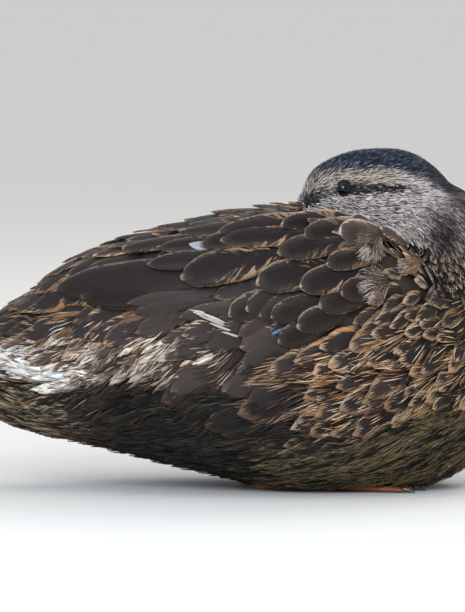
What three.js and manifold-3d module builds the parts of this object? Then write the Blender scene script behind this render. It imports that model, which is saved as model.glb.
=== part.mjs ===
// A female mallard at rest: it sits on its belly with its feet folded under it, its head turned right round
// and its bill laid among the feathers of its back.
// Millimetres. +X is forwards along the body, +Y is the bird's left and +Z is up. The floor is z = 0.
// The solids follow the outline of the plumage. Neighbouring pieces keep a thin gap between them.
import * as THREE from "three";
import { mergeVertices } from "three/addons/utils/BufferGeometryUtils.js";
import Module from "manifold-3d";

const wasm = await Module();
wasm.setup();

const gap = 0.35; // between neighbouring pieces
const degrees = Math.PI / 180;

// ---- Driving dimensions ----
// Trunk: each row is x, underside, back, widest level, half width.
const trunkStations = [
  [-156, 67, 77, 72, 1],
  [-152, 59, 84, 72, 11],
  [-143, 47, 94, 71, 22],
  [-128, 36, 105, 69, 34],
  [-104, 29, 120, 68, 48],
  [-75, 23, 133, 67, 62],
  [-40, 14, 143, 67, 75],
  [-5, 6, 152, 68, 83],
  [30, -3, 157, 70, 86.5],
  [62, -5, 154, 72, 84.5],
  [92, -4, 144, 75, 77.5],
  [116, 2, 133, 79, 67],
  [137, 14, 123, 82, 53],
  [153, 36, 112, 85, 36],
  [162, 57, 102, 86, 18],
  [165, 78, 92, 87, 1],
];
const trunkSquareness = 2.2; // 2 is an ellipse
const trunkMesh = { along: 26, round: 26 };

// Head, in its own frame: u towards the bill, up from the level of the eyes. Each row is u, chin, crown, widest
// level, half width.
const headStations = [
  [-61, -22, -12, -16, 1],
  [-58, -30, -4, -14, 11],
  [-49, -34, 7, -12, 18.5],
  [-37, -34, 15, -10, 22],
  [-22, -32, 18.4, -8, 23.4],
  [-8, -29.5, 19.3, -6.5, 23],
  [3, -26.5, 16.6, -5, 21],
  [12, -23.5, 11, -5, 18],
  [20, -21, 3, -6.5, 14.5],
  [26, -19.5, -3.6, -9, 11.5],
  [29, -18.5, -6.8, -11.5, 9],
  [30, -14, -10, -12, 1],
];
const headSquareness = 2.1;
const headMesh = { along: 20, round: 20 };
const eyeLevelPoint = new THREE.Vector3(63, -1, 171.5); // where the line through both eyes crosses the middle
const headYaw = -5; // degrees that the bill points away from straight back, to the bird's left
const headPitch = 10; // degrees that the bill points down
const eye = { radius: 6.2, forward: 0, out: 15.9, around: 14, up: 8 };

// Bill, in the head's frame. Each row is u, underside, top, widest level, half width.
const billUpperStations = [
  [26, -15, -7.5, -12, 1],
  [28, -17, -5.6, -13, 8.2],
  [36, -17.6, -8.2, -14, 9.2],
  [47, -18.8, -12, -16, 8.8],
  [60, -20, -15.2, -18, 9.8],
  [72, -20.6, -17, -19, 10.8],
  [78, -20.8, -17.9, -19.4, 9],
  [81.6, -21.2, -19.2, -20.2, 3.4],
  [82.2, -20.8, -20.2, -20.5, 0.6],
];
const billLowerStations = [
  [26, -19, -16, -18, 1],
  [28, -20.6, -16, -18.4, 7.2],
  [38, -21.4, -16, -19, 8],
  [52, -22.4, -17, -20, 7.6],
  [66, -23.2, -18, -21, 8],
  [74, -23, -19, -21.2, 6.4],
  [78, -22.4, -20, -21.6, 1],
];
const billSquareness = 2.4;
const billUpperMesh = { along: 12, round: 12 };
const billLowerMesh = { along: 9, round: 10 };

// Neck: each row is x, y, z and radius of a thick folded tube from inside the head to inside the breast.
const neckStations = [
  [72, 0, 160, 12],
  [84, 1, 158, 22],
  [97, 2, 153, 28.5],
  [110, 3, 145, 33],
  [119, 3, 133, 37.5],
  [120, 2, 116, 43],
  [115, 1, 98, 46],
  [108, 0, 82, 38],
  [102, 0, 70, 12],
];
const neckMesh = { along: 14, round: 20 };

// Folded wings with the shoulder feathers, laid on the trunk: each row is x, the angle from the top of the back at
// which the wing starts, the angle at which it ends, and its thickness.
const wingStations = [
  [-111, 12, 27, 1.2],
  [-105, 8, 38, 4.5],
  [-82, 7, 52, 9],
  [-42, 7, 66, 12],
  [0, 9, 75, 13.5],
  [35, 12, 79, 14.5],
  [65, 17, 77, 15],
  [91, 24, 71, 14],
  [110, 33, 63, 10],
  [119, 42, 54, 1.2],
];
const wingMesh = { along: 18, across: 8 };
const wingEdge = 1.0; // thickness at the rim
const wingClearance = 0.6; // over the trunk
const wingSwell = 0.55; // how soon the thickness is reached, from the rim in

// Tail: a slightly arched fan of feathers.
const tail = {
  root: new THREE.Vector3(-112, 0, 83),
  length: 74,
  slope: 5, // degrees down
  spread: 24, // degrees from the middle to the edge
  rootHalfWidth: 20,
  arch: 6, // how far the edges hang below the middle
  baseThickness: 7,
  tipThickness: 1.2,
  feathers: 9, // tips that show along the end
  cornerDrop: 0.16, // how much shorter the outermost feathers are
  notchDepth: 0.07,
};

// Legs, folded under the body: the shank lies on the floor and the toes point forwards.
const leg = {
  heel: new THREE.Vector3(16, 22, 5),
  ankle: new THREE.Vector3(54, 27, 3.6),
  shankRadius: 4,
  heelRadius: 4.9,
  knuckleRadius: 3.5,
  toeTipRadius: 1.7,
  toes: [
    { name: "inner", length: 38, angle: -15 },
    { name: "middle", length: 47, angle: 1 },
    { name: "outer", length: 43, angle: 17 },
  ],
  webThickness: 1.3,
  webReach: 0.9, // of the toe, where the web's edge starts
  webScoop: 0.84, // how far the edge is drawn in between two toes
  hindToe: new THREE.Vector3(-7, -8, -2),
  hindRadius: 2.1,
  hindStart: 0.35, // of the hind toe, where it leaves the shank
  sides: 8,
  pressed: 0.2, // how far the toes are pressed flat on the floor
  room: 0.8, // left round the leg in the belly's plumage
  clawRoom: 10, // beyond the toe's tip
  webRoom: 1.9,
  webRoomReach: 1.22, // takes in the claws
};
const claw = { length: 6.5, radius: 1.5, along: 5, round: 7, taper: 0.85, flatness: 0.7, lift: 0.4 };

// ---- Solids ----
function solidFrom(geometry) {
  const bare = new THREE.BufferGeometry().setAttribute("position", geometry.getAttribute("position"));
  bare.setIndex(geometry.index);
  const merged = mergeVertices(bare, 1e-4);
  return new wasm.Manifold(
    new wasm.Mesh({
      numProp: 3,
      vertProperties: new Float32Array(merged.attributes.position.array),
      triVerts: new Uint32Array(merged.index.array),
    }),
  );
}

function geometryFrom(solid) {
  const mesh = solid.getMesh();
  const corners = new Float32Array(mesh.triVerts.length * 3);
  mesh.triVerts.forEach((vertex, corner) => {
    const first = vertex * mesh.numProp;
    corners.set(mesh.vertProperties.subarray(first, first + 3), corner * 3);
  });
  const geometry = new THREE.BufferGeometry().setAttribute("position", new THREE.BufferAttribute(corners, 3));
  geometry.computeVertexNormals();
  return geometry;
}

// The solid of a closed surface, whichever way its faces were wound.
function outwards(geometry) {
  const solid = solidFrom(geometry);
  if (solid.volume() > 0) return solid;
  const index = geometry.index.array;
  for (let k = 0; k < index.length; k += 3) [index[k + 1], index[k + 2]] = [index[k + 2], index[k + 1]];
  return solidFrom(geometry);
}

// The largest body of a solid, without the crumbs that a cut can leave.
function mainBody(solid) {
  return solid.decompose().reduce((a, b) => (b.volume() > a.volume() ? b : a));
}

const mirrored = (solid, side) => (side > 0 ? solid : solid.mirror([0, 1, 0]));

// A smooth curve through rows of numbers, read at t from 0 to 1.
function through(rows) {
  const last = rows.length - 1;
  const row = (k) => rows[THREE.MathUtils.clamp(k, 0, last)];
  return (t) => {
    const at = THREE.MathUtils.clamp(t, 0, 1) * last;
    const i = Math.min(Math.floor(at), last - 1);
    const f = at - i;
    return rows[0].map((_, c) => {
      const [before, from, to, after] = [row(i - 1)[c], row(i)[c], row(i + 1)[c], row(i + 2)[c]];
      return (
        (2 * f ** 3 - 3 * f ** 2 + 1) * from +
        ((f ** 3 - 2 * f ** 2 + f) * (to - before)) / 2 +
        (3 * f ** 2 - 2 * f ** 3) * to +
        ((f ** 3 - f ** 2) * (after - from)) / 2
      );
    });
  };
}

// t at which a curve's first number, which rises all the way, reaches a value.
function whereFirstIs(curve, value) {
  const halvings = 40;
  let low = 0;
  let high = 1;
  for (let step = 0; step < halvings; step++) {
    const middle = (low + high) / 2;
    if (curve(middle)[0] < value) low = middle;
    else high = middle;
  }
  return (low + high) / 2;
}

// A closed surface from rings of points, point(i, j) with i along and j round, closed by a pole at each end.
function ringsSolid(along, round, point) {
  const positions = [];
  const index = [];
  for (let i = 0; i < along; i++) {
    for (let j = 0; j < round; j++) positions.push(...point(i, j).toArray());
  }
  const poles = [0, along - 1].map((i) => {
    const centre = new THREE.Vector3();
    for (let j = 0; j < round; j++) centre.add(point(i, j));
    positions.push(...centre.divideScalar(round).toArray());
    return positions.length / 3 - 1;
  });
  for (let j = 0; j < round; j++) {
    const next = (j + 1) % round;
    for (let i = 0; i + 1 < along; i++) {
      const [a, b] = [i * round + j, i * round + next];
      const [c, d] = [a + round, b + round];
      index.push(a, b, d, a, d, c);
    }
    index.push(poles[0], next, j);
    index.push(poles[1], (along - 1) * round + j, (along - 1) * round + next);
  }
  const geometry = new THREE.BufferGeometry();
  geometry.setAttribute("position", new THREE.Float32BufferAttribute(positions, 3));
  geometry.setIndex(index);
  return outwards(geometry);
}

// A point on an egg-shaped section: angle 0 is the top, and the widest level need not be the middle.
function sectionPoint([along, low, high, wide, halfWidth], angle, squareness, grow = 0) {
  const power = 2 / squareness;
  const [c, s] = [Math.cos(angle), Math.sin(angle)];
  const reach = c > 0 ? high - wide + grow : wide - low + grow;
  return new THREE.Vector3(
    along,
    (halfWidth + grow) * Math.sign(s) * Math.abs(s) ** power,
    wide + reach * Math.sign(c) * Math.abs(c) ** power,
  );
}

// A lofted solid through stations, larger all over by grow, with nothing below the floor.
function stationedSolid(stations, squareness, { along, round }, grow = 0, floor = -Infinity) {
  const curve = through(stations);
  return ringsSolid(along, round, (i, j) => {
    const share = i / (along - 1);
    const row = curve(share);
    row[0] += grow * (2 * share - 1);
    const point = sectionPoint(row, (2 * Math.PI * j) / round, squareness, grow);
    point.z = Math.max(point.z, floor);
    return point;
  });
}

function bareOf(geometry) {
  geometry.deleteAttribute("normal");
  geometry.deleteAttribute("uv");
  return geometry;
}

// ---- Trunk ----
const trunkCurve = through(trunkStations);
const trunkSolid = () => stationedSolid(trunkStations, trunkSquareness, trunkMesh, 0, 0);
const trunkGrown = () => stationedSolid(trunkStations, trunkSquareness, trunkMesh, gap);

// ---- Head, eyes and bill ----
// These are made with x towards the bill, y to the head's left and z up, then turned to face backwards.
const headFrame = new THREE.Matrix4()
  .makeTranslation(eyeLevelPoint)
  .multiply(new THREE.Matrix4().makeRotationZ((180 - headYaw) * degrees))
  .multiply(new THREE.Matrix4().makeRotationY(headPitch * degrees));
const onHead = (solid) => solid.transform(headFrame.toArray());

const headSolid = (grow) => onHead(stationedSolid(headStations, headSquareness, headMesh, grow));
const billUpperSolid = (grow) => onHead(stationedSolid(billUpperStations, billSquareness, billUpperMesh, grow));
const billLowerSolid = (grow) => onHead(stationedSolid(billLowerStations, billSquareness, billLowerMesh, grow));

function eyeSolid(side, grow) {
  const ball = bareOf(new THREE.SphereGeometry(eye.radius + grow, eye.around, eye.up));
  ball.rotateX(Math.PI / 2);
  ball.translate(eye.forward, side * eye.out, 0);
  return onHead(solidFrom(ball));
}

// ---- Neck ----
function neckSolid(grow) {
  const { along, round } = neckMesh;
  const curve = through(neckStations);
  const rows = Array.from({ length: along }, (_, i) => curve(i / (along - 1)));
  const centre = (i) => new THREE.Vector3(...rows[THREE.MathUtils.clamp(i, 0, along - 1)].slice(0, 3));
  const sideways = new THREE.Vector3(0, 1, 0);
  return ringsSolid(along, round, (i, j) => {
    const tangent = centre(i + 1).sub(centre(i - 1)).normalize();
    const across = sideways.clone().addScaledVector(tangent, -sideways.dot(tangent)).normalize();
    const upright = tangent.clone().cross(across);
    const angle = (2 * Math.PI * j) / round;
    const radius = rows[i][3] + grow;
    return centre(i)
      .addScaledVector(across, radius * Math.cos(angle))
      .addScaledVector(upright, radius * Math.sin(angle));
  });
}

// ---- Wings ----
// A pad laid on the trunk between two angles, thickest in the middle: its section is a loop of an outer and an
// inner arc.
function wingSolid(side) {
  const { along, across } = wingMesh;
  const curve = through(wingStations);
  return ringsSolid(along, 2 * across, (i, j) => {
    const outer = j < across;
    const [x, from, to, thickness] = curve(i / (along - 1));
    const share = (outer ? j : 2 * across - 1 - j) / (across - 1);
    const swell = Math.sin(Math.PI * share) ** wingSwell;
    const depth = wingEdge + Math.max(thickness - wingEdge, 0) * swell;
    const row = trunkCurve(whereFirstIs(trunkCurve, x));
    const angle = (from + (to - from) * share) * degrees;
    const spot = sectionPoint(row, angle, trunkSquareness, wingClearance + (outer ? depth : 0));
    spot.y *= side;
    return spot;
  });
}

// ---- Tail ----
// Each edge of the fan's end is scalloped, one rounded tip for each feather that shows.
function tailSolid() {
  const along = 6;
  const across = 3 * tail.feathers + 1;
  const down = tail.slope * degrees;
  return ringsSolid(along, 2 * across, (i, j) => {
    const top = j < across;
    const share = i / (along - 1);
    const sideways = (2 * (top ? j : 2 * across - 1 - j)) / (across - 1) - 1;
    const angle = sideways * tail.spread * degrees;
    const notch = 1 - Math.abs(Math.sin(((sideways + 1) * tail.feathers * Math.PI) / 2));
    const reach = share * tail.length * (1 - tail.cornerDrop * sideways ** 2 - tail.notchDepth * notch * share);
    const halfThick = THREE.MathUtils.lerp(tail.baseThickness, tail.tipThickness, share) / 2;
    const back = reach * Math.cos(angle);
    return new THREE.Vector3(
      tail.root.x - back * Math.cos(down),
      sideways * tail.rootHalfWidth + reach * Math.sin(angle),
      tail.root.z - back * Math.sin(down) - tail.arch * sideways ** 2 + (top ? halfThick : -halfThick),
    );
  });
}

// ---- Legs ----
// A tapered bar with round ends between two points.
function barSolid(from, to, radiusFrom, radiusTo) {
  const length = from.distanceTo(to);
  const steps = 3;
  const profile = [];
  for (let k = 0; k <= steps; k++) {
    const angle = (k / steps) * 90 * degrees;
    profile.push(new THREE.Vector2(k ? radiusFrom * Math.sin(angle) : 0, -radiusFrom * Math.cos(angle)));
  }
  for (let k = 0; k <= steps; k++) {
    const angle = (k / steps) * 90 * degrees;
    profile.push(new THREE.Vector2(k < steps ? radiusTo * Math.cos(angle) : 0, length + radiusTo * Math.sin(angle)));
  }
  const bar = bareOf(new THREE.LatheGeometry(profile, leg.sides));
  const lathed = new THREE.Vector3(0, 1, 0);
  bar.applyQuaternion(new THREE.Quaternion().setFromUnitVectors(lathed, to.clone().sub(from).normalize()));
  bar.translate(from.x, from.y, from.z);
  return outwards(bar);
}

const hindDirection = leg.hindToe.clone().setZ(0).normalize();
const toeDirection = (toe) => new THREE.Vector3(Math.cos(toe.angle * degrees), Math.sin(toe.angle * degrees), 0);
const toeTip = (toe, beyond = 0) =>
  leg.ankle.clone().addScaledVector(toeDirection(toe), toe.length + beyond).setZ(leg.toeTipRadius - leg.pressed);

// The skin between the toes, out to a share of their length, its edge drawn in by scoop between two toes.
function webSolid(thickness, share, scoop) {
  const ankle = new THREE.Vector2(leg.ankle.x, leg.ankle.y);
  const reach = leg.toes.map((toe) => {
    const tip = toeTip(toe);
    return new THREE.Vector2(tip.x, tip.y).lerp(ankle, 1 - share);
  });
  const edge = new THREE.Shape().moveTo(ankle.x, ankle.y).lineTo(reach[0].x, reach[0].y);
  for (let k = 0; k + 1 < reach.length; k++) {
    const middle = reach[k].clone().add(reach[k + 1]).divideScalar(2).lerp(ankle, 1 - scoop);
    edge.quadraticCurveTo(middle.x, middle.y, reach[k + 1].x, reach[k + 1].y);
  }
  const web = new THREE.ExtrudeGeometry(edge, { depth: thickness, bevelEnabled: false, curveSegments: 4 });
  return outwards(mergeVertices(bareOf(web), 1e-4));
}

function aboveFloor(solid) {
  const size = 600;
  const slab = bareOf(new THREE.BoxGeometry(size, size, size));
  slab.translate(0, 0, -size / 2);
  return solid.subtract(solidFrom(slab));
}

// The left shank and toes, thicker by grow and with toes that go on beyond their tips.
function legBars(grow, beyond) {
  const hindFrom = leg.ankle.clone().addScaledVector(leg.hindToe, leg.hindStart);
  const hindTo = leg.ankle.clone().add(leg.hindToe).addScaledVector(hindDirection, beyond);
  return [
    barSolid(leg.heel, leg.ankle, leg.heelRadius + grow, leg.shankRadius + grow),
    barSolid(hindFrom, hindTo, leg.hindRadius + grow, leg.toeTipRadius + grow),
    ...leg.toes.map((toe) =>
      barSolid(leg.ankle, toeTip(toe, beyond), leg.knuckleRadius + grow, leg.toeTipRadius + grow),
    ),
  ].reduce((a, b) => a.add(b));
}

const legSolid = (side) =>
  mirrored(aboveFloor(legBars(0, 0).add(webSolid(leg.webThickness, leg.webReach, leg.webScoop))), side);
// The room that a leg and its claws take in the belly's plumage.
const legRoom = (side) =>
  mirrored(legBars(leg.room, leg.clawRoom).add(webSolid(leg.webRoom, leg.webRoomReach, 1)), side);

function clawSolid(from, away, side) {
  const start = from.clone().addScaledVector(away, leg.toeTipRadius + gap);
  const curve = new THREE.QuadraticBezierCurve3(
    start.clone().setZ(claw.radius + claw.lift),
    start.clone().addScaledVector(away, claw.length * 0.6).setZ(claw.radius + claw.lift),
    start.clone().addScaledVector(away, claw.length).setZ(claw.lift),
  );
  const across = new THREE.Vector3(-away.y, away.x, 0);
  const solid = ringsSolid(claw.along, claw.round, (i, j) => {
    const share = i / (claw.along - 1);
    const angle = (2 * Math.PI * j) / claw.round;
    const radius = claw.radius * (1 - claw.taper * share);
    return curve
      .getPoint(share)
      .addScaledVector(across, radius * claw.flatness * Math.cos(angle))
      .add(new THREE.Vector3(0, 0, radius * Math.sin(angle)));
  });
  return mirrored(solid, side);
}

// ---- Fitting the pieces to each other ----
const sides = { left: 1, right: -1 };
const headRoom = headSolid(gap);
const billRoom = billUpperSolid(gap).add(billLowerSolid(gap));
const trunkRoom = trunkGrown();

let trunk = trunkSolid().subtract(headRoom).subtract(billRoom);
let head = headSolid(0);
for (const side of Object.values(sides)) {
  trunk = trunk.subtract(legRoom(side));
  head = head.subtract(eyeSolid(side, gap));
}
const pieces = [
  ["trunk", mainBody(trunk), "plumage"],
  ["neck", mainBody(neckSolid(0).subtract(headRoom).subtract(trunkRoom)), "headPlumage"],
  ["head", mainBody(head), "headPlumage"],
  ["bill_upper", mainBody(billUpperSolid(0).subtract(headRoom)), "bill"],
  ["bill_lower", mainBody(billLowerSolid(0).subtract(headRoom).subtract(billUpperSolid(gap))), "bill"],
  ["tail", mainBody(tailSolid().subtract(trunkRoom)), "flight"],
];
const wingCut = headRoom.add(billRoom).add(neckSolid(gap));
for (const [name, side] of Object.entries(sides)) {
  pieces.push([`wing_${name}`, mainBody(wingSolid(side).subtract(wingCut)), "flight"]);
  // The head faces backwards, so its own left is towards -y.
  pieces.push([`eye_${name}`, eyeSolid(side, 0), "eye"]);
  pieces.push([`leg_${name}`, legSolid(side), "foot"]);
  for (const toe of leg.toes) {
    pieces.push([`claw_${name}_${toe.name}`, clawSolid(toeTip(toe), toeDirection(toe), side), "claw"]);
  }
  const hindTip = leg.ankle.clone().add(leg.hindToe);
  pieces.push([`claw_${name}_hind`, clawSolid(hindTip, hindDirection, side), "claw"]);
}

// ---- The model ----
const finishes = {
  plumage: { color: 0x5b4536, roughness: 0.8 },
  headPlumage: { color: 0x8c7a66, roughness: 0.85 },
  flight: { color: 0x4a3b33, roughness: 0.6 },
  bill: { color: 0xb0702a, roughness: 0.45 },
  eye: { color: 0x1c120c, roughness: 0.08 },
  foot: { color: 0xd06a24, roughness: 0.55 },
  claw: { color: 0x2a211c, roughness: 0.4 },
};

const duck = new THREE.Group();
for (const [name, solid, finish] of pieces) {
  const material = new THREE.MeshStandardMaterial({ ...finishes[finish], metalness: 0 });
  const mesh = new THREE.Mesh(geometryFrom(solid), material);
  mesh.name = name;
  duck.add(mesh);
}
// The origin is on the floor, in the middle of the box round the whole bird.
const box = new THREE.Box3().setFromObject(duck);
const middle = box.getCenter(new THREE.Vector3());
duck.position.set(-middle.x, -middle.y, -box.min.z);

export default duck;
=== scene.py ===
import bpy
import bmesh
import math
import mathutils
import numpy as np
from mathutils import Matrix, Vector
from mathutils.bvhtree import BVHTree
from mathutils.kdtree import KDTree


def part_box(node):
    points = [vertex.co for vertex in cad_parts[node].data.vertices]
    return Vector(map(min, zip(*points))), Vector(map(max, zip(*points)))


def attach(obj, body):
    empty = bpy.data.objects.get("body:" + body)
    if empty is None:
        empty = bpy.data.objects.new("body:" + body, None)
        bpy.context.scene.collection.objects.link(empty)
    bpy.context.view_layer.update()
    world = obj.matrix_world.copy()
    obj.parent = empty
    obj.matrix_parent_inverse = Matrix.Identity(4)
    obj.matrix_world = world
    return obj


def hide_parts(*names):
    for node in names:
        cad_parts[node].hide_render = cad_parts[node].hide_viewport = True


# A female mallard at rest, head turned back and bill tucked in. Metres, +X forwards, +Z up.
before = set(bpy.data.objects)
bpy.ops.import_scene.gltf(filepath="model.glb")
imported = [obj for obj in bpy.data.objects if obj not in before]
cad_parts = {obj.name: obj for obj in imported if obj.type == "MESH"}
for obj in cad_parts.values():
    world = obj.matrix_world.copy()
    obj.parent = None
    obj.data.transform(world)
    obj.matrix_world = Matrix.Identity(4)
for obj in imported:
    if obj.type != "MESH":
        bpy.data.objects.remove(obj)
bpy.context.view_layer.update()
mm = 0.001


def say(stage):
    print("duck:", stage, flush=True)


def srgb(code):
    # a hex colour as linear numbers
    parts = [(code >> shift & 255) / 255 for shift in (16, 8, 0)]
    return np.array([p / 12.92 if p <= 0.04045 else ((p + 0.055) / 1.055) ** 2.4 for p in parts])


def smoothstep(low, high, value):
    t = np.clip((value - low) / (high - low), 0, 1)
    return t * t * (3 - 2 * t)


def band(low, high, value, soft):
    return smoothstep(low - soft, low + soft, value) * (1 - smoothstep(high - soft, high + soft, value))


def unit(vectors):
    return vectors / np.maximum(np.linalg.norm(vectors, axis=-1, keepdims=True), 1e-9)


def alongSurface(vectors, normals):
    # the part of each vector that lies in its surface
    return unit(vectors - normals * (vectors * normals).sum(-1, keepdims=True))


def linked(name, data):
    thing = bpy.data.objects.new(name, data)
    bpy.context.scene.collection.objects.link(thing)
    return thing


# camera, lights and floor
studio = {
    "aim": (0.010, 0.0, 0.1034),
    "azimuth": 0.0, "elevation": 4.0, "distance": 3.4,
    "viewHeight": 0.3497,   # of the picture, at the bird
    "floorColour": 0xDEDCD8, "floorSize": 160.0,
    "skyColour": 0xF1F3F6, "skyStrength": 0.92,
    # name, place, aim, size, power, colour
    "lights": [("key", (-0.9, -1.2, 2.0), (0, 0, 0.1), 2.6, 11, (1, 1, 1)),
               ("rim", (0.9, 1.3, 1.5), (0, 0, 0.12), 1.2, 12, (1, 1, 1)),
               ("catch", (-0.32, -1.35, 0.68), (0.07, 0, 0.17), 0.62, 16, (0.76, 0.87, 1.0))],
}


def addStudio(s):
    scene = bpy.context.scene
    azimuth, elevation = math.radians(s["azimuth"]), math.radians(s["elevation"])
    away = Vector((math.sin(azimuth) * math.cos(elevation), -math.cos(azimuth) * math.cos(elevation),
                   math.sin(elevation)))
    camera = linked("camera", bpy.data.cameras.new("camera"))
    camera.data.sensor_width = 36
    camera.data.lens = 36 * s["distance"] / s["viewHeight"]
    camera.data.clip_end = 400
    camera.location = Vector(s["aim"]) + away * s["distance"]
    camera.rotation_euler = (-away).to_track_quat("-Z", "Y").to_euler()
    scene.camera = camera
    for name, place, aim, size, power, colour in s["lights"]:
        light = linked(name, bpy.data.lights.new(name, "AREA"))
        light.data.shape = "DISK"
        light.data.size, light.data.energy, light.data.color = size, power, colour
        light.location = place
        light.rotation_euler = (Vector(aim) - Vector(place)).to_track_quat("-Z", "Y").to_euler()
    half = s["floorSize"] / 2
    floor = linked("floor", bpy.data.meshes.new("floor"))
    floor.data.from_pydata([(-half, -half, 0), (half, -half, 0), (half, half, 0), (-half, half, 0)], [],
                           [(0, 1, 2, 3)])
    material = bpy.data.materials.new("paleFloor")
    material.use_nodes = True
    shader = material.node_tree.nodes["Principled BSDF"]
    shader.inputs["Base Color"].default_value = (*srgb(s["floorColour"]), 1)
    shader.inputs["Roughness"].default_value = 0.9
    floor.data.materials.append(material)
    world = bpy.data.worlds.new("studio")
    world.use_nodes = True
    sky = world.node_tree.nodes["Background"].inputs
    sky["Color"].default_value = (*srgb(s["skyColour"]), 1)
    sky["Strength"].default_value = s["skyStrength"]
    scene.world = world
    scene.view_settings.view_transform = "Standard"


addStudio(studio)


# meshes
def joinedNodes(name, nodeNames, fuller=()):
    # the nodes as one mesh, some of them made fuller by a distance
    joined = bmesh.new()
    for nodeName in nodeNames:
        piece = bmesh.new()
        piece.from_mesh(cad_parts[nodeName].data)
        bmesh.ops.remove_doubles(piece, verts=piece.verts, dist=1e-6)
        piece.normal_update()
        for vertex in piece.verts:
            vertex.co += vertex.normal * dict(fuller).get(nodeName, 0)
        part = bpy.data.meshes.new(nodeName + "Part")
        piece.to_mesh(part)
        piece.free()
        joined.from_mesh(part)
        bpy.data.meshes.remove(part)
    mesh = bpy.data.meshes.new(name)
    joined.to_mesh(mesh)
    joined.free()
    return linked(name, mesh)


def remeshed(thing, s):
    # one closed smooth skin round what the object holds
    remesh = thing.modifiers.new("voxels", "REMESH")
    remesh.mode = "VOXEL"
    remesh.voxel_size = s["voxel"]
    smooth = thing.modifiers.new("smooth", "SMOOTH")
    smooth.factor, smooth.iterations = 0.5, s["smoothing"]
    mesh = bpy.data.meshes.new_from_object(thing.evaluated_get(bpy.context.evaluated_depsgraph_get()))
    old = thing.data
    thing.modifiers.clear()
    thing.data = mesh
    mesh.name = thing.name
    bpy.data.meshes.remove(old)
    return thing


def fetched(data, key, count, wide=1, kind=float):
    values = np.zeros(count * wide, kind)
    data.foreach_get(key, values)
    return values.reshape(-1, wide) if wide > 1 else values


def readVertices(mesh, key="co"):
    return fetched(mesh.vertices, key, len(mesh.vertices), 3)


def setVertices(mesh, points):
    mesh.vertices.foreach_set("co", points.astype(np.float32).ravel())
    mesh.update()


def smoothShaded(mesh):
    mesh.polygons.foreach_set("use_smooth", np.ones(len(mesh.polygons), bool))


def addAttribute(mesh, name, values):
    kind, key = {1: ("FLOAT", "value"), 3: ("FLOAT_VECTOR", "vector"),
                 4: ("FLOAT_COLOR", "color")}[1 if values.ndim == 1 else values.shape[1]]
    mesh.attributes.new(name, kind, "POINT").data.foreach_set(key, values.astype(np.float32).ravel())


def addUvMap(mesh, name, perVertex):
    corners = fetched(mesh.loops, "vertex_index", len(mesh.loops), 1, np.int32)
    mesh.uv_layers.new(name=name).uv.foreach_set("vector", perVertex[corners].astype(np.float32).ravel())


def rgba(colours):
    return np.concatenate([colours, np.ones((len(colours), 1))], 1)


def treeOf(nodeName):
    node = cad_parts[nodeName].data
    corners = fetched(node.polygons, "vertices", len(node.polygons), 3, np.int32)
    return BVHTree.FromPolygons(readVertices(node).tolist(), corners.tolist())


# the form: the outline of the plumage as one smooth closed surface
formStyle = {
    "flesh": ["trunk", "neck", "head", "wing_left", "wing_right"],
    "filling": ["bill_upper", "bill_lower", "eye_left", "eye_right"],   # what sits in the flesh
    "fuller": {"bill_upper": 3.4 * mm},   # the back's feathers close over the bill
    "browAt": (17, 9), "browSize": 14, "browFullness": 3.4,   # the forehead's fuller feathers, from the eyes
    "voxel": 2.0 * mm, "smoothing": 10,
}
formNodes = formStyle["flesh"] + formStyle["filling"]
form = remeshed(joinedNodes("form", formNodes, formStyle["fuller"]), formStyle)

# the head's own frame: u towards the bill, side to the head's left, rise up from the eyes
headPitch = math.radians(10)   # the bill points down by this
eyeTurn = math.radians(14)     # and the eyes look this far forward
eyeLift = math.radians(10)
eyeShift = (1.0, 0.6)          # and stand this much nearer the bill and further out than their solids, mm
eyeCentres = {side: sum(np.array(corner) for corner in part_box("eye_" + side)) / 2
              for side in ("left", "right")}
eyeRadius = (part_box("eye_left")[1].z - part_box("eye_left")[0].z) / 2
headCentre = (eyeCentres["left"] + eyeCentres["right"]) / 2
headSide = unit(eyeCentres["left"] - eyeCentres["right"])
headForward = np.cross(headSide, (0, 0, 1)) * math.cos(headPitch) - np.array((0, 0, math.sin(headPitch)))
headUp = np.cross(headForward, headSide)
eyeAxis = {}
for side, sign in (("left", 1), ("right", -1)):
    eyeCentres[side] += (headForward * eyeShift[0] + headSide * sign * eyeShift[1]) * mm
    eyeAxis[side] = unit(headSide * sign * math.cos(eyeTurn) + headForward * math.sin(eyeTurn)
                         + headUp * math.sin(eyeLift))


def headCoordinates(points):
    offset = (points - headCentre) / mm
    return offset @ headForward, offset @ headSide, offset @ headUp


def fromAxis(points, side):
    # how far points are along an eye's line of sight, and beside it
    offset = points - eyeCentres[side]
    ahead = offset @ eyeAxis[side]
    return ahead, np.linalg.norm(offset - ahead[:, None] * eyeAxis[side], axis=1)


def offAxis(points, side):
    # how far a point is from the line of sight of the eye on its side of the head, in millimetres
    ahead, beside = fromAxis(points, side)
    return np.where(ahead > -2 * mm, beside, 40 * mm) / mm


def fullerBrow(thing, s):
    points = readVertices(thing.data)
    u, _, rise = headCoordinates(points)
    away = np.hypot(u - s["browAt"][0], rise - s["browAt"][1]) / s["browSize"]
    fuller = s["browFullness"] * mm * np.exp(-away ** 2) * (rise > -6)
    setVertices(thing.data, points + readVertices(thing.data, "normal") * fuller[:, None])


def surfaceOf(mesh):
    mesh.calc_loop_triangles()
    triangles = fetched(mesh.loop_triangles, "vertices", len(mesh.loop_triangles), 3, np.int32)
    points = readVertices(mesh)
    return {"points": points, "normals": readVertices(mesh, "normal"), "triangles": triangles,
            "tree": BVHTree.FromPolygons(points.tolist(), triangles.tolist())}


fullerBrow(form, formStyle)
surface = surfaceOf(form.data)
say(f"form with {len(surface['triangles'])} triangles")


def nearestFaces(points):
    found = [surface["tree"].find_nearest(point) for point in points.tolist()]
    return np.array([spot[0] for spot in found]), np.array([spot[2] for spot in found])


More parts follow.
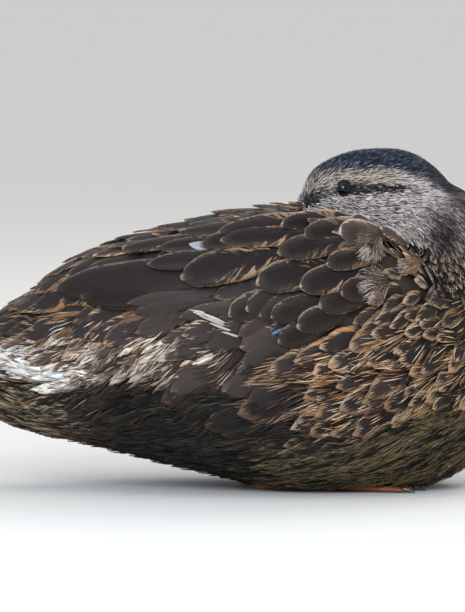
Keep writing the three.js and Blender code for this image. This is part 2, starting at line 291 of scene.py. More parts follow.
def snapped(points):
    # the nearest places on the form, with the corners of their triangles and their shares
    places, faces = nearestFaces(points)
    corners = surface["triangles"][faces]
    return places, corners, cornerShares(places, surface["points"][corners])


def cornerShares(places, corners):
    a, b, c = corners[:, 0], corners[:, 1], corners[:, 2]
    ab, ac, ap = b - a, c - a, places - a
    d00, d01, d11 = (ab * ab).sum(1), (ab * ac).sum(1), (ac * ac).sum(1)
    d20, d21 = (ap * ab).sum(1), (ap * ac).sum(1)
    size = np.maximum(d00 * d11 - d01 * d01, 1e-24)
    v = (d11 * d20 - d01 * d21) / size
    w = (d00 * d21 - d01 * d20) / size
    return np.clip(np.stack([1 - v - w, v, w], 1), 0, 1)


def readField(field, corners, shares):
    values = field[corners]
    return (values * (shares if values.ndim == 2 else shares[..., None])).sum(1)


def normalsAt(corners, shares):
    return unit(readField(surface["normals"], corners, shares))


# what each point of the form is part of, and where it lies, in millimetres
def readPlaces(points):
    x, y, z = (points / mm).T
    near = {}
    for name in ("trunk", "neck", "head", "wing_left", "wing_right", "bill_upper"):
        tree = treeOf(name)
        away = np.array([tree.find_nearest(point)[3] for point in points.tolist()])
        near[name] = np.exp(-(away / (4 * mm)) ** 2)
    near["wing"] = near.pop("wing_left") + near.pop("wing_right")
    near["trunk"] += near.pop("bill_upper")
    total = sum(near.values()) + 1e-6
    u, side, rise = headCoordinates(points)
    overBill = near["head"] * smoothstep(23, 26, u)   # the back's feathers close over the bill's base
    near["trunk"] += overBill
    near["head"] = near["head"] - overBill
    return {**{name: value / total for name, value in near.items()}, "x": x, "y": y, "z": z,
            "lean": np.degrees(np.arctan2(np.abs(y), z - 70)), "u": u, "rise": rise,
            "fromEye": np.minimum(*[offAxis(points, side) for side in eyeCentres])}


places = readPlaces(surface["points"])


# the way the plumage lies
lie = {
    "neckPivot": (88, 116),     # x and z that the neck's feathers turn round
    "eyeParting": 1.44,
    "smoothing": 8,
}


def spread(values, triangles, count, rounds):
    # evens a field out over the surface
    edges = np.concatenate([triangles[:, [0, 1]], triangles[:, [1, 2]], triangles[:, [2, 0]]])
    degree = np.bincount(edges.ravel(), minlength=count)[:, None] + 1e-9
    for _ in range(rounds):
        total = np.zeros_like(values)
        for c in range(values.shape[1]):
            total[:, c] = (np.bincount(edges[:, 0], values[edges[:, 1], c], count)
                           + np.bincount(edges[:, 1], values[edges[:, 0], c], count))
        values = 0.5 * values + 0.5 * total / degree
    return values


def whiteBand(p):
    # the white side of the tail's root
    middle = np.interp(p["x"], [-123, -105, -68], [78, 73.5, 67])
    reach = np.interp(p["x"], [-123, -105, -68], [9, 8, 3.5])
    beyond = smoothstep(reach - 1.5, reach + 1.5, np.abs(p["z"] - middle))
    return band(-144, -62, p["x"], 4) * (1 - beyond)


def flowField(p, normals):
    x, z, lean = p["x"], p["z"], p["lean"]
    down = (0.42 * band(-200, 150, x, 20) * smoothstep(35, 70, lean) * (1 - 0.7 * smoothstep(105, 150, lean))
            * smoothstep(-105, -66, x) * (1 + 0.5 * band(-100, -30, x, 12) - 0.3 * band(45, 160, x, 15)))
    down = down + 0.12 * p["wing"]
    down = down * (1 - whiteBand(p)) - 0.12 * whiteBand(p)
    body = np.stack([-np.ones_like(down), 0.25 * smoothstep(100, 160, x) * np.sign(p["y"]), -down], 1)
    ahead, above = x - lie["neckPivot"][0], z - lie["neckPivot"][1]
    neck = unit(np.stack([above, 0 * above, -ahead], 1))
    head = np.tile(-headForward, (len(down), 1)) - headUp * 0.12
    for centre in eyeCentres.values():
        away = surface["points"] - centre
        closeness = np.exp(-(np.linalg.norm(away, axis=1) / mm / 8.5) ** 2)
        head = head + unit(away) * (lie["eyeParting"] * closeness)[:, None]
    neckShare = np.clip(p["neck"] + smoothstep(122, 158, x) * smoothstep(25, 90, z), 0, 1)
    bodyShare = np.clip(1 - neckShare - p["head"], 0, 1)
    flow = body * bodyShare[:, None] + neck * neckShare[:, None] + head * p["head"][:, None]
    flow = alongSurface(flow, normals)
    return alongSurface(spread(flow, surface["triangles"], len(flow), lie["smoothing"]), normals)


def noiseOf(spots, strength):
    return np.array([mathutils.noise.noise(Vector(spot)) for spot in spots.tolist()]) * strength


def turnedAbout(vectors, axes, angles):
    c, s = np.cos(angles)[:, None], np.sin(angles)[:, None]
    return vectors * c + np.cross(axes, vectors) * s


flow = flowField(places, surface["normals"])
say("lie of the plumage")


# the plumage by tract, lengths in millimetres. along and across are the gaps between roots, fringe the pale
# edge, line a pale line inside it, patch the warm marks at the sides, turn in degrees, blotch how far pale
# feathers gather. The last three are the share of loose barbs, the share of pale ones and their length
tractKeys = ("length", "width", "along", "across", "core", "rim", "mark", "fringe", "line", "patch", "turn",
             "lift", "sink", "blotch", "barbs", "paleBarbs", "barbLength")
tractRows = {
    "neck": (7.5, 4.0, 3.4, 2.5, 0x1E1716, 0xB5A28C, 0x80654E,
             0.75, 0, 0.3, 30, 0.9, 2.4, 1.4, 0.25, 0.3, 0.4),
    "breast": (21, 11, 8.4, 5.6, 0x1F1817, 0xBCA07C, 0x866244,
               2.2, 0, 0.7, 18, 1.0, 3.8, 0.9, 0.6, 0.48, 0.85),
    "sideBreast": (31, 16, 12.5, 7.6, 0x2B211F, 0xC8AF92, 0x9A6B45,
                   2.6, 0, 1.4, 18, 1.1, 4.8, 0.8, 0.8, 0.44, 1.0),
    "flank": (48, 25, 20, 10.5, 0x332A27, 0x9C826C, 0x76583F,
              1.2, 0, 0.7, 12, 1.3, 5.4, 1.2, 0.7, 0.24, 1.0),
    "thigh": (24, 6.4, 7.8, 3.3, 0x42332C, 0xD9CFC2, 0xA07F64,
              2.5, 0, 0.4, 14, 1.2, 4.2, 3.4, 0.55, 0.55, 0.9),
    "belly": (19, 3.2, 5.4, 2.1, 0x1F1913, 0x736547, 0x665536,
              0.65, 0, 0.3, 10, 0.9, 3.4, 1.6, 0.9, 0.5, 1.0),
    "darkBelly": (21, 4.6, 7.4, 3.0, 0x120E0C, 0x43382A, 0x3A2B1D,
                  0.6, 0, 0.3, 16, 1.1, 3.6, 1.4, 0.7, 0.15, 1.1),
    "vent": (27, 6, 8.4, 3.4, 0x1E1813, 0x9F9078, 0x6E573C,
             1.5, 0, 0.4, 14, 1.0, 4.0, 2.4, 0.7, 0.45, 1.1),
    "white": (24, 6.0, 6.6, 2.8, 0xB9B0A6, 0xF0EEE9, 0xCFC7BC,
              3.4, 0, 0.5, 8, 1.2, 3.4, 0.4, 0.8, 0.85, 1.0),
    "rump": (28, 12, 10.5, 6.0, 0x181214, 0x9C866E, 0x6E523B,
             0.8, 0.2, 0.4, 16, 1.1, 4.4, 1.6, 0.3, 0.4, 0.8),
    "back": (27, 13, 10.5, 6.4, 0x1F1817, 0xB49A7C, 0x84613F,
             1.0, 0.1, 0.35, 12, 1.0, 4.4, 0.8, 0.1, 0.35, 0.7),
    "shoulder": (19, 10, 7.8, 5.2, 0x211917, 0xB9A48C, 0x84603F,
                 1.5, 0.1, 1.0, 22, 1.2, 4.2, 1.0, 0.3, 0.42, 0.7),
    "scapular": (38, 17, 15, 7.6, 0x241C1C, 0xB89C7C, 0x8C6444,
                 0.9, 0, 0.8, 10, 1.2, 5.4, 0.8, 0.0, 0.5, 0.7),
    "covert": (28, 15, 11, 7.0, 0x302723, 0xA08C78, 0x5E4B3C,
               0.6, 0, 0.1, 8, 1.0, 4.6, 0.5, 0.0, 0.4, 0.7),
}
tracts = {name: dict(zip(tractKeys, row)) for name, row in tractRows.items()}
blotchSize = {"long": 15.0, "short": 7.0, "slope": 0.42}   # where pale plumage gathers, in millimetres


def blotchesAt(points):
    # from -1 where the plumage is dark to 1 where it is pale, in drifts along its lie
    x, y, z = (points / mm).T
    s = blotchSize
    drift = [(x + s["slope"] * z) / s["long"], y / s["short"], (z - s["slope"] * x) / s["short"]]
    return noiseOf(np.stack(drift, 1), 1.8)


def tractShares(p):
    off = np.clip(1 - p["head"] - p["wing"], 0, 1)
    x, z, lean = p["x"], p["z"], p["lean"]
    lowFrom = np.interp(x, [-60, 0, 12, 42, 62, 143], [80, 84, 90, 102, 111, 95])
    low = smoothstep(lowFrom, lowFrom + 14, lean)
    neck = np.clip(p["neck"] + smoothstep(104, 124, x) * smoothstep(104, 122, z), 0, 1)
    off = off * (1 - neck)
    wavy = x + 13 * blotchesAt(np.stack([x, p["y"], z], 1) * mm)
    vent = off * smoothstep(98, 108, lean) * (1 - smoothstep(-76, -58, wavy))
    side, top = off * (1 - low), off * (1 - smoothstep(50, 62, lean))
    covert = p["wing"] * band(-20, 66, x, 6) * (1 - smoothstep(112, 120, z))
    shoulder = p["wing"] * smoothstep(66, 96, x)
    shares = {
        "neck": neck * (1 - p["wing"]),
        "belly": off * low * smoothstep(26, 50, wavy),
        "darkBelly": off * low * band(-66, 38, wavy, 12),
        "vent": vent,
        "breast": side * smoothstep(106, 130, x),
        "sideBreast": side * band(58, 118, x, 8) * smoothstep(50, 60, lean),
        "flank": side * band(8, 58, x, 6) * smoothstep(50, 60, lean),
        "thigh": side * band(-104, 8, x, 6) * smoothstep(56, 68, lean) * (1 - vent),
        "rump": top * (1 - smoothstep(-70, -50, x)),
        "back": top * smoothstep(-70, -50, x),
        "covert": covert, "shoulder": shoulder,
        "scapular": np.clip(p["wing"] - covert - shoulder, 0, 1),
    }
    white = off * whiteBand(p)
    shares = {name: value * (1 - white) for name, value in shares.items()}
    shares["white"] = white
    total = sum(shares.values()) + 1e-6
    return {name: value / total for name, value in shares.items()}


shares = tractShares(places)
# how far the fine plumage of the head reaches down the neck
headReach = np.maximum(np.clip(places["head"] * 1.8, 0, 1),
                       (places["neck"] > 0.15) * band(60, 137, places["x"], 3)
                       * smoothstep(-2, 2, places["z"] - 144 + 0.25 * (places["x"] - 108)))
headReach *= places["u"] < 26


def tractField(key):
    return sum(shares[name] * tracts[name][key] for name in tracts)


def tractColour(key):
    return sum(shares[name][:, None] * srgb(tracts[name][key]) for name in tracts)


# where each feather is rooted: none inside the oval of another, which is long the way the plumage lies
def scattered(gapAlong, gapAcross, wanted, rng, tries=6):
    triangles, points = surface["triangles"], surface["points"]
    a, b, c = (points[triangles[:, k]] for k in range(3))
    area = np.linalg.norm(np.cross(b - a, c - a), axis=1) / 2
    longGap, sideGap = (np.maximum(gap[triangles].mean(1), 0.35) * mm for gap in (gapAlong, gapAcross))
    weight = area / (longGap * sideGap) * (wanted[triangles].mean(1) > 0.5)
    chosen = rng.choice(len(triangles), int(weight.sum() * tries), p=weight / weight.sum())
    r1, r2 = np.sqrt(rng.random(len(chosen))), rng.random(len(chosen))
    parts = np.stack([1 - r1, r1 * (1 - r2), r1 * r2], 1)
    corners = triangles[chosen]
    spots = readField(points, corners, parts)
    heading = unit(readField(flow, corners, parts))
    longGap, sideGap = longGap[chosen], sideGap[chosen]
    finder = KDTree(len(spots))
    for k, spot in enumerate(spots.tolist()):
        finder.insert(spot, k)
    finder.balance()
    free = np.ones(len(spots), bool)
    kept = []
    for k in range(len(spots)):
        if not free[k]:
            continue
        kept.append(k)
        others = np.array([other for _, other, _ in finder.find_range(spots[k], max(longGap[k], sideGap[k]))])
        offset = spots[others] - spots[k]
        ahead = offset @ heading[k]
        beside = np.maximum((offset ** 2).sum(1) - ahead ** 2, 0)
        free[others[(ahead / longGap[k]) ** 2 + beside / sideGap[k] ** 2 < 1]] = False
    return {"place": spots[kept], "corners": corners[kept], "parts": parts[kept],
            "gap": np.sqrt(longGap * sideGap)[kept] / mm}


# a vane is a thin closed lens: rows from root to tip, arched across, closer together at the tip
def vaneShares(style):
    shares = 1 - (1 - np.arange(style["rows"] + 1) / style["rows"]) ** 1.45
    shares[-1] = 0.996
    return shares


def vaneOutline(shares, style):
    full = style["fullAt"]
    swell = style["baseWidth"] + (1 - style["baseWidth"]) * smoothstep(0, full, shares)
    t = np.clip((shares - full) / (1 - full), 0, 1)
    return swell * (1 - t ** style["blunt"]) ** style["taper"]


def vaneMesh(name, points, count, rows, across):
    # the faces of one vane, top, underside and ends, then of all of them
    def at(k, j):
        return k * (across + 1) + j

    faces = [[at(k, j), at(k, j + 1), at(k + 1, j + 1), at(k + 1, j)]
             for k in range(rows) for j in range(across)]
    faces += [[at(k, 0), at(k + 1, 0), at(k + 1, across), at(k, across)] for k in range(rows)]
    faces += [[at(0, j) for j in range(across, -1, -1)], [at(rows, j) for j in range(across + 1)]]
    corners = np.concatenate(faces)[None] + np.arange(count)[:, None] * at(rows + 1, 0)
    starts = np.cumsum([0] + [len(face) for face in faces] * count)[:-1]
    mesh = bpy.data.meshes.new(name)
    mesh.vertices.add(len(points))
    mesh.vertices.foreach_set("co", points.astype(np.float32).ravel())
    mesh.loops.add(corners.size)
    mesh.loops.foreach_set("vertex_index", corners.ravel().astype(np.int32))
    mesh.polygons.add(len(starts))
    mesh.polygons.foreach_set("loop_start", starts.astype(np.int32))
    mesh.update(calc_edges=True)
    smoothShaded(mesh)
    return mesh


def drapedSpines(site, style):
    # each feather's line over the surface, with its normals and headings
    place, corners, parts = snapped(site["place"])
    normal = normalsAt(corners, parts)
    heading = turnedAbout(alongSurface(readField(flow, corners, parts), normal), normal, site["turn"])
    heading = alongSurface(heading, normal)
    line, normals, headings = [place], [normal], [heading]
    loose = site.get("loose", np.zeros(len(place)))[:, None]   # 1 goes straight on past the form's end
    for step in np.diff(vaneShares(style)):
        ahead = place + heading * (site["length"] * mm * step)[:, None]
        place, corners, parts = snapped(ahead)
        place = place * (1 - loose) + ahead * loose
        normal = unit(normalsAt(corners, parts) * (1 - loose) + normal * loose)
        follow = style["follow"] * step * (1 - loose)
        heading = alongSurface(heading + readField(flow, corners, parts) * follow, normal)
        line.append(place)
        normals.append(normal)
        headings.append(heading)
    line, normals = evened(np.array(line), np.array(normals), style["stiffness"])
    return line, normals, np.array(headings)


def evened(line, normals, rounds):
    for _ in range(rounds):
        line[1:-1] = (line[:-2] + 2 * line[1:-1] + line[2:]) / 4
        normals[1:-1] = unit(normals[:-2] + 2 * normals[1:-1] + normals[2:])
    return line, normals


def vanes(name, site, style, rng, spines):
    line, normals, headings = spines
    count, rows, across = line.shape[1], style["rows"], style["across"]
    shares = vaneShares(style)[:, None]
    a = np.linspace(-1, 1, across + 1)
    half = vaneOutline(shares, style) * site["width"][None] / 2 * mm
    ragged = 1 + style["ragged"] * rng.uniform(-1, 1, (rows + 1, count, across + 1))
    sideways = np.cross(headings, normals)
    grid = line[:, :, None] + sideways[:, :, None] * (a * half[..., None] * ragged)[..., None]
    rough = rng.uniform(-1, 1, (rows + 1, count, across + 1)) * (shares[..., None] * style["ragged"])
    grid += headings[:, :, None] * (rough * site["length"][None, :, None] * mm * 0.25)[..., None]
    outward = np.broadcast_to(normals[:, :, None], grid.shape)
    wrap = np.reshape(site.get("wrap", style["wrap"]), (1, -1, 1, 1))
    if wrap.any():
        wrapped, corners, parts = snapped(grid.reshape(-1, 3))
        grid = grid * (1 - wrap) + wrapped.reshape(grid.shape) * wrap
        outward = unit(outward * (1 - wrap) + normalsAt(corners, parts).reshape(grid.shape) * wrap)
    height = (-site["sink"] * (1 - shares) ** 1.2 + site["lift"] * shares ** 1.6 + site["layer"]) * mm
    arch = site["width"][None, :, None] * mm * style["arch"] * (1 - a ** 2)
    arch = arch * (0.35 + 0.65 * shares[..., None])
    grid = grid + outward * (height[..., None] + arch - style["droop"] * mm * np.abs(a) ** 2.5)[..., None]
    t = ((a + 1) / 2)[:, None]
    bulge = ((grid - grid[:, :, :1] * (1 - t) - grid[:, :, -1:] * t) * outward).sum(-1)
    grid = grid + outward * np.maximum(0, style["thickness"] * mm * (1 - a ** 2) - bulge)[..., None]
    grid = grid.transpose(1, 0, 2, 3)
    grid[..., 2] = np.maximum(grid[..., 2], 0.3 * mm)
    mesh = vaneMesh(name, grid.reshape(-1, 3), count, rows, across)
    vaneUv = np.stack(np.broadcast_arrays(t.T, shares), -1).reshape(1, -1, 2).repeat(count, 0)
    addUvMap(mesh, "vane", vaneUv.reshape(-1, 2))
    baked = site["rootUv"][:, None] + (vaneUv - 0.5) * site["patch"][:, None, None]
    addUvMap(mesh, "OFBake", np.clip(baked, 0, 1).reshape(-1, 2))
    carried = {key: rgba(site[key]) for key in ("core", "rim", "mark")}
    carried["plan"] = site["plan"]
    carried["size"] = np.stack([site["length"], site["width"], site["dice"]], 1)
    for key, values in carried.items():
        addAttribute(mesh, key, np.repeat(values, (rows + 1) * (across + 1), 0))
    return linked(name, mesh)


# the skin: the form drawn in by the depth of the coat, with an unwrap that the feathers share
skinStyle = {
    "headDepth": 1.7, "neckDepth": 3.2, "bodyDepth": 5.6,
    "unwrapAngle": 1.15, "unwrapMargin": 0.004,
    "socketRoom": 0.7,
}


def unwrapped(thing, s):
    # one place on the unwrap for each triangle's corner, kept by triangle because islands part at edges
    bpy.context.view_layer.objects.active = thing
    thing.select_set(True)
    bpy.ops.object.mode_set(mode="EDIT")
    bpy.ops.mesh.select_all(action="SELECT")
    bpy.ops.uv.smart_project(angle_limit=s["unwrapAngle"], island_margin=s["unwrapMargin"])
    bpy.ops.object.mode_set(mode="OBJECT")
    thing.select_set(False)
    mesh = thing.data
    mesh.uv_layers[0].name = "OFBake"
    layer = fetched(mesh.uv_layers["OFBake"].uv, "vector", len(mesh.loops), 2, np.float32)
    mesh.calc_loop_triangles()
    return layer[fetched(mesh.loop_triangles, "loops", len(mesh.loop_triangles), 3, np.int32)]


surface["uv"] = unwrapped(form, skinStyle)
bodyDepth = skinStyle["bodyDepth"]
coatDepth = np.clip(bodyDepth - (bodyDepth - skinStyle["neckDepth"]) * places["neck"]
                    - (bodyDepth - skinStyle["headDepth"]) * places["head"], 1, 9)
nearEyes = 0.5 + 1.2 * smoothstep(4.5, 12, places["fromEye"]) + 9 * (places["fromEye"] > 12)
coatDepth = np.minimum(coatDepth, nearEyes)


def rootUvs(spots):
    faces = nearestFaces(spots)[1]
    parts = cornerShares(spots, surface["points"][surface["triangles"][faces]])
    return (surface["uv"][faces] * parts[..., None]).sum(1)


def only(site, keep):
    return {key: value[keep] for key, value in site.items()}


# what the feathers of a region are like, from the tracts that meet there
def dress(site, rng, tone=0.22):
    names = list(tracts)
    weights = np.stack([readField(shares[name], site["corners"], site["parts"]) for name in names], 1) ** 2
    weights /= weights.sum(1, keepdims=True)
    picked = (weights.cumsum(1) > rng.random(len(weights))[:, None]).argmax(1)
    count = len(picked)

    def mixed(key):
        return readField(tractField(key), site["corners"], site["parts"])

    def chosen(key):
        return np.array([tracts[name][key] for name in names])[picked]

    scale = rng.normal(1, 0.14, count).clip(0.7, 1.4)
    site["tract"] = np.array(names)[picked]
    site["length"] = mixed("length") * scale
    site["width"] = mixed("width") * scale * rng.normal(1, 0.06, count).clip(0.85, 1.15)
    site["lift"] = mixed("lift") * rng.uniform(0.15, 0.9, count)
    site["sink"] = mixed("sink")
    site["layer"] = rng.uniform(-0.35, 0.35, count)
    site["turn"] = np.radians(mixed("turn")) * rng.normal(0, 0.5, count).clip(-1, 1)
    for key in ("core", "rim", "mark"):
        palette = np.array([srgb(tracts[name][key]) for name in names])
        shade = np.exp(rng.normal(0, tone, (count, 1)))
        warmth = 1 + rng.normal(0, 0.04, (count, 1)) * np.array([[1, 0, -1]])
        site[key] = (palette[picked] * shade * warmth).clip(0, 1)
    paler = np.exp(blotchesAt(site["place"]) * mixed("blotch") * 0.6)
    site["plan"] = np.stack([chosen("fringe") * rng.uniform(0.75, 1.25, count) * paler,
                             chosen("line") * rng.uniform(0.3, 1.1, count),
                             chosen("patch") * rng.uniform(0.2, 1.1, count)], 1)
    site["dice"] = rng.random(count)
    site["rootUv"] = rootUvs(site["place"])
    site["patch"] = np.clip(site["gap"] * 0.0016, 0.0025, 0.012)
    return site


# materials: a wire is a node's output, and sums with it make Math nodes
class Wire:
    def __init__(self, add, node, key):
        self.add, self.node, self.socket = add, node, node.outputs[key]

    def __getitem__(self, key):
        return Wire(self.add, self.node, key)

    def math(self, operation, *values):
        return self.add("ShaderNodeMath", dict(enumerate((self, *values))), operation=operation)

    def __add__(self, other):
        return self.math("ADD", other)

    def __sub__(self, other):
        return self.math("SUBTRACT", other)

    def __rsub__(self, other):
        return self.add("ShaderNodeMath", {0: other, 1: self}, operation="SUBTRACT")

    def __mul__(self, other):
        return self.math("MULTIPLY", other)

    def __abs__(self):
        return self.math("ABSOLUTE")


def fill(tree, inputs, values):
    for key, value in values.items():
        if isinstance(value, Wire):
            tree.links.new(value.socket, inputs[key])
        else:
            inputs[key].default_value = value


def nodeAdder(tree):
    def add(kind, inputs=None, output=0, **settings):
        node = tree.nodes.new(kind)
        for key, value in settings.items():
            setattr(node, key, value)
        fill(tree, node.inputs, inputs or {})
        return Wire(add, node, output) if node.outputs else node

    return add


def ramp(low, high, wire):
    return wire.add("ShaderNodeMapRange", {0: wire, 1: low, 2: high, 3: 0.0, 4: 1.0},
                    interpolation_type="SMOOTHSTEP")


def blend(share, first, second):
    codes = {6: first, 7: second}
    colours = {key: (*srgb(code), 1) if isinstance(code, int) else code for key, code in codes.items()}
    return share.add("ShaderNodeMix", {0: share, **colours}, output=2, data_type="RGBA")


def scaled(vector, amount):
    return vector.add("ShaderNodeVectorMath", {0: vector, "Scale": amount}, operation="SCALE")


def objectPlace(add, stretch=None):
    place = add("ShaderNodeTexCoord", output=3)
    return add("ShaderNodeMapping", {"Vector": place, "Scale": stretch}) if stretch else place


def newMaterial(name):
    # what adds a node, what reads an attribute, what adds noise, and what links the shader at the end
    material = bpy.data.materials.new(name)
    material.use_nodes = True
    tree = material.node_tree
    add = nodeAdder(tree)

    def read(key, output=0):
        return add("ShaderNodeAttribute", output=output, attribute_name=key)

    def noiseAt(place, scale, detail, roughness=0.5):
        return add("ShaderNodeTexNoise", {"Vector": place or objectPlace(add), "Scale": scale,
                                          "Detail": detail, "Roughness": roughness})

    def finish(inputs, *bump):
        if bump:
            inputs["Normal"] = add("ShaderNodeBump", dict(zip(("Height", "Strength", "Distance"), bump)))
        fill(tree, tree.nodes["Principled BSDF"].inputs, inputs)
        return material

    return add, read, noiseAt, finish


def finishPiece(thing, material=None, slot="plumage", *nodes):
    if material:
        thing.data.materials.append(material)
    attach(thing, "root")
    if nodes:
        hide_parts(*nodes)
    say(f"{thing.name}: {len(thing.data.polygons)} faces")


plumageStyle = {
    "fray": 8.0,          # how far the barbs break the edge of a colour, mm
    "barbs": 0.5,         # barbs to a millimetre, as far as they show
    "barbSlant": 2.2, "shaftWidth": 0.28, "toneSpread": 0.42, "corner": 1.5, "down": 0.6,
    "bump": 0.35, "roughness": 0.6, "sheen": 0.04, "specular": 0.2,
    "fringeSpread": 1.6,  # above 1 the fringe fades out here and there
    "warmEdge": 0.8,
    "gaps": 0.6,          # how much of the dark shows between the pale barbs of a fringe
    "upperEdge": 0.0,     # 1 leaves the fringe off the lower edge
    "patchDrift": 1.3, "fewPatches": 0.0,
    # the next: paler towards the edge, partly the feathers' own paler edges and partly painted sheen
    "wornEdge": 0.02,     # how much paler a feather grows towards its edge
}


def featherMaterial(name, s):
    add, read, noiseAt, finish = newMaterial(name)

    def stroke(x, y, z, detail):
        return noiseAt(add("ShaderNodeCombineXYZ", {0: x, 1: y, 2: z}), 1.0, detail, 0.6)

    across, along, _ = add("ShaderNodeSeparateXYZ", {0: add("ShaderNodeUVMap", uv_map="vane")})
    length, width, dice = add("ShaderNodeSeparateXYZ", {0: read("size", 1)})
    fringeWide, lineShare, patchShare = add("ShaderNodeSeparateXYZ", {0: read("plan", 1)})
    core, rim, mark = (read(key) for key in ("core", "rim", "mark"))
    sided = across * 2.0 - 1.0
    offCentre = abs(sided)
    half = width * 0.5
    aside = offCentre * half
    barb = along * length - aside * s["barbSlant"]
    seed = dice * 61.0 + across.math("GREATER_THAN", 0.5) * 7.3
    streak = stroke(barb * s["barbs"], aside * 0.09, seed, 2.5)
    hairs = stroke(barb * (s["barbs"] * 1.25), aside * 0.16, seed + 13.0, 1.5)
    coarse = stroke(barb * (0.33 / math.hypot(1, s["barbSlant"])), aside * 0.12, seed + 31.0, 1.0)
    # how far from the edge, with the barbs breaking it
    fromTip = (1.0 - along) * length * 0.85
    toEdge = ((1.0 - offCentre) * half).math("SMOOTH_MIN", fromTip, s["corner"])
    toEdge = toEdge + (streak - 0.5) * (s["fray"] * 2)
    wide = coarse * (s["fringeSpread"] * 2) + (1.0 - s["fringeSpread"])
    wide = fringeWide * wide.math("MAXIMUM", 0.01)
    if s["upperEdge"]:
        upper = sided * lineShare * s["upperEdge"] + 1.0
        wide = wide * upper.math("MAXIMUM", ramp(0.86, 1.0, along))
    fringe = 1.0 - ramp(wide * 0.5, wide * 1.3 + 0.001, toEdge)
    edgeColour = blend(ramp(0.42, 0.6, coarse) * s["warmEdge"], rim, mark)
    edgeColour = blend(ramp(0.5, 0.66, hairs) * s["gaps"], edgeColour, core)
    # warm marks beside the shaft, and a pale line inside the fringe
    drift = (coarse - (0.5 + s["fewPatches"])) * s["patchDrift"] + (streak - 0.5) * 0.7
    patch = ramp(0.5, 0.66, offCentre + drift) * (1.0 - ramp(0.6, 0.74, along + drift * 0.6)) * patchShare
    patch.node.use_clamp = True
    colour = blend(patch, core, mark)
    if not s["upperEdge"]:
        line = 1.0 - ramp(0.5, 1.3, abs(toEdge - (fringeWide * 1.7 + 2.1)))
        colour = blend(line * (lineShare * ramp(0.3, 0.6, along)), colour, mark)
    # paler towards the edge: the feather's own paler edge with painted sheen
    colour = blend((1.0 - ramp(0.0, 7.0, toEdge)) * s["wornEdge"], colour, rim)
    shaft = 1.0 - ramp(s["shaftWidth"] * 0.4, s["shaftWidth"], aside)
    shaft = shaft * (ramp(4.0, 12.0, width) * (1.0 - ramp(0.8, 0.97, along)))
    colour = blend(shaft * 0.35, colour, (0.02, 0.015, 0.013, 1))
    colour = blend(fringe, colour, edgeColour)
    colour = blend((1.0 - ramp(0.05, 0.3, along)) * s["down"], colour, (0.022, 0.018, 0.016, 1))
    tone = ((streak - 0.5) * (s["toneSpread"] * 2) + 1.0) * ((coarse - 0.5) * 0.3 + 1.0)
    return finish({"Base Color": scaled(colour, tone), "Roughness": streak * 0.2 + (s["roughness"] - 0.1),
                   "Specular IOR Level": s["specular"], "Sheen Weight": s["sheen"], "Sheen Roughness": 0.5},
                  streak * 0.6 + shaft * 0.7, s["bump"], 0.0006)


feathered = featherMaterial("contourFeathers", plumageStyle)


# the big feathers of each wing. Each has its root's x and z, its tip's x and z, its width and its height over
# the coat, in millimetres, the lowest first
wingPlan = [
    ("flight", 5, 118, -49, 109, 9, -0.5), ("flight", 5, 113, -46, 103.5, 9, -0.8),
    ("flight", 22, 110, -20, 102, 9, -0.6), ("blue", 42, 95.5, 32, 94, 2.4, -0.4),
    ("covert", 68, 100, 35.4, 89.1, 16, 0.0), ("covert", 78, 107, 45.7, 97.7, 17, 0.3),
    ("covert", 40, 116, 8, 104, 17, 0.1), ("covert", 50, 117, 17.7, 107.4, 17, 0.3),
    ("covert", 57, 114, 25, 104, 16, 0.5), ("covert", 64, 112, 31.4, 103.4, 16, 0.7),
    ("covert", 91, 118, 58, 109, 18, 0.4), ("covert", 96, 122, 70, 116, 15, 0.6),
    ("tertial", 5, 121, -75, 112, 24, 0.2), ("tertial", 12, 128, -89, 115.5, 25, 0.9),
    ("tertial", 22, 137, -37, 130, 14, 1.5), ("blueGrey", 10, 141, -14, 141.5, 8, 0.6),
    ("scapular", 20, 150, -52, 138, 16, 0.3), ("scapular", 30, 146, -32, 139, 15, 0.6),
    ("scapular", 48, 142, -18.5, 123.4, 25, 1.5), ("scapular", 62, 155, -20, 147, 17, 0.9),
    ("scapular", 72, 151, 3.4, 143.4, 19, 1.5), ("scapular", 50, 152, -8, 141, 19, 1.2),
    ("scapular", 70, 133, 23.4, 121, 21, 1.8), ("scapular", 76, 155, 1.7, 148, 15, 1.5),
    ("scapular", 80, 147, 35.4, 137, 19, 2.1), ("scapular", 88, 130, 47.4, 119.4, 18, 2.0),
    ("scapular", 80, 157, 37, 152.5, 13, 1.9), ("scapular", 88, 152, 49.7, 147, 16, 2.4),
    ("scapular", 92, 152, 57, 151, 12, 2.3), ("scapular", 96, 140, 62, 131, 15, 2.3),
    ("scapular", 92, 145, 52, 154, 13, 2.0),
    ("frayed", 92, 151, 77, 157, 7, 1.7), ("frayed", 108.5, 142, 93, 150.3, 7, 2.0),
    ("frayed", 98, 147, 69.5, 148.5, 17, 2.6),
]
# the white bars that show between the wing's feathers and the flank's
barPlan = [
    ("white", 15, 92, -9, 104, 2.2, 0.0), ("white", 17, 89.5, -3, 100, 1.8, 0.2),
    ("white", 11, 95.5, -8, 105.5, 1.8, 0.1), ("white", 19, 88, 4, 95, 1.5, 0.3),
    ("white", 7, 98, -12, 105.5, 2.2, 0.1), ("white", 3, 101, -14, 107, 1.6, 0.2),
]
# soft feathers blown open, each a spray of barbs: the root's x and z, the middle barb's tip, the breadth, and
# the kinds of its upper and lower barbs
sprayPlan = [(91.5, 147.5, 81, 132.5, 50, "spray", "paleSpray"), (99, 124, 79, 117, 46, "spray", "paleSpray"),
             (117, 131.5, 100, 128, 20, "tanSpray", "paleSpray")]
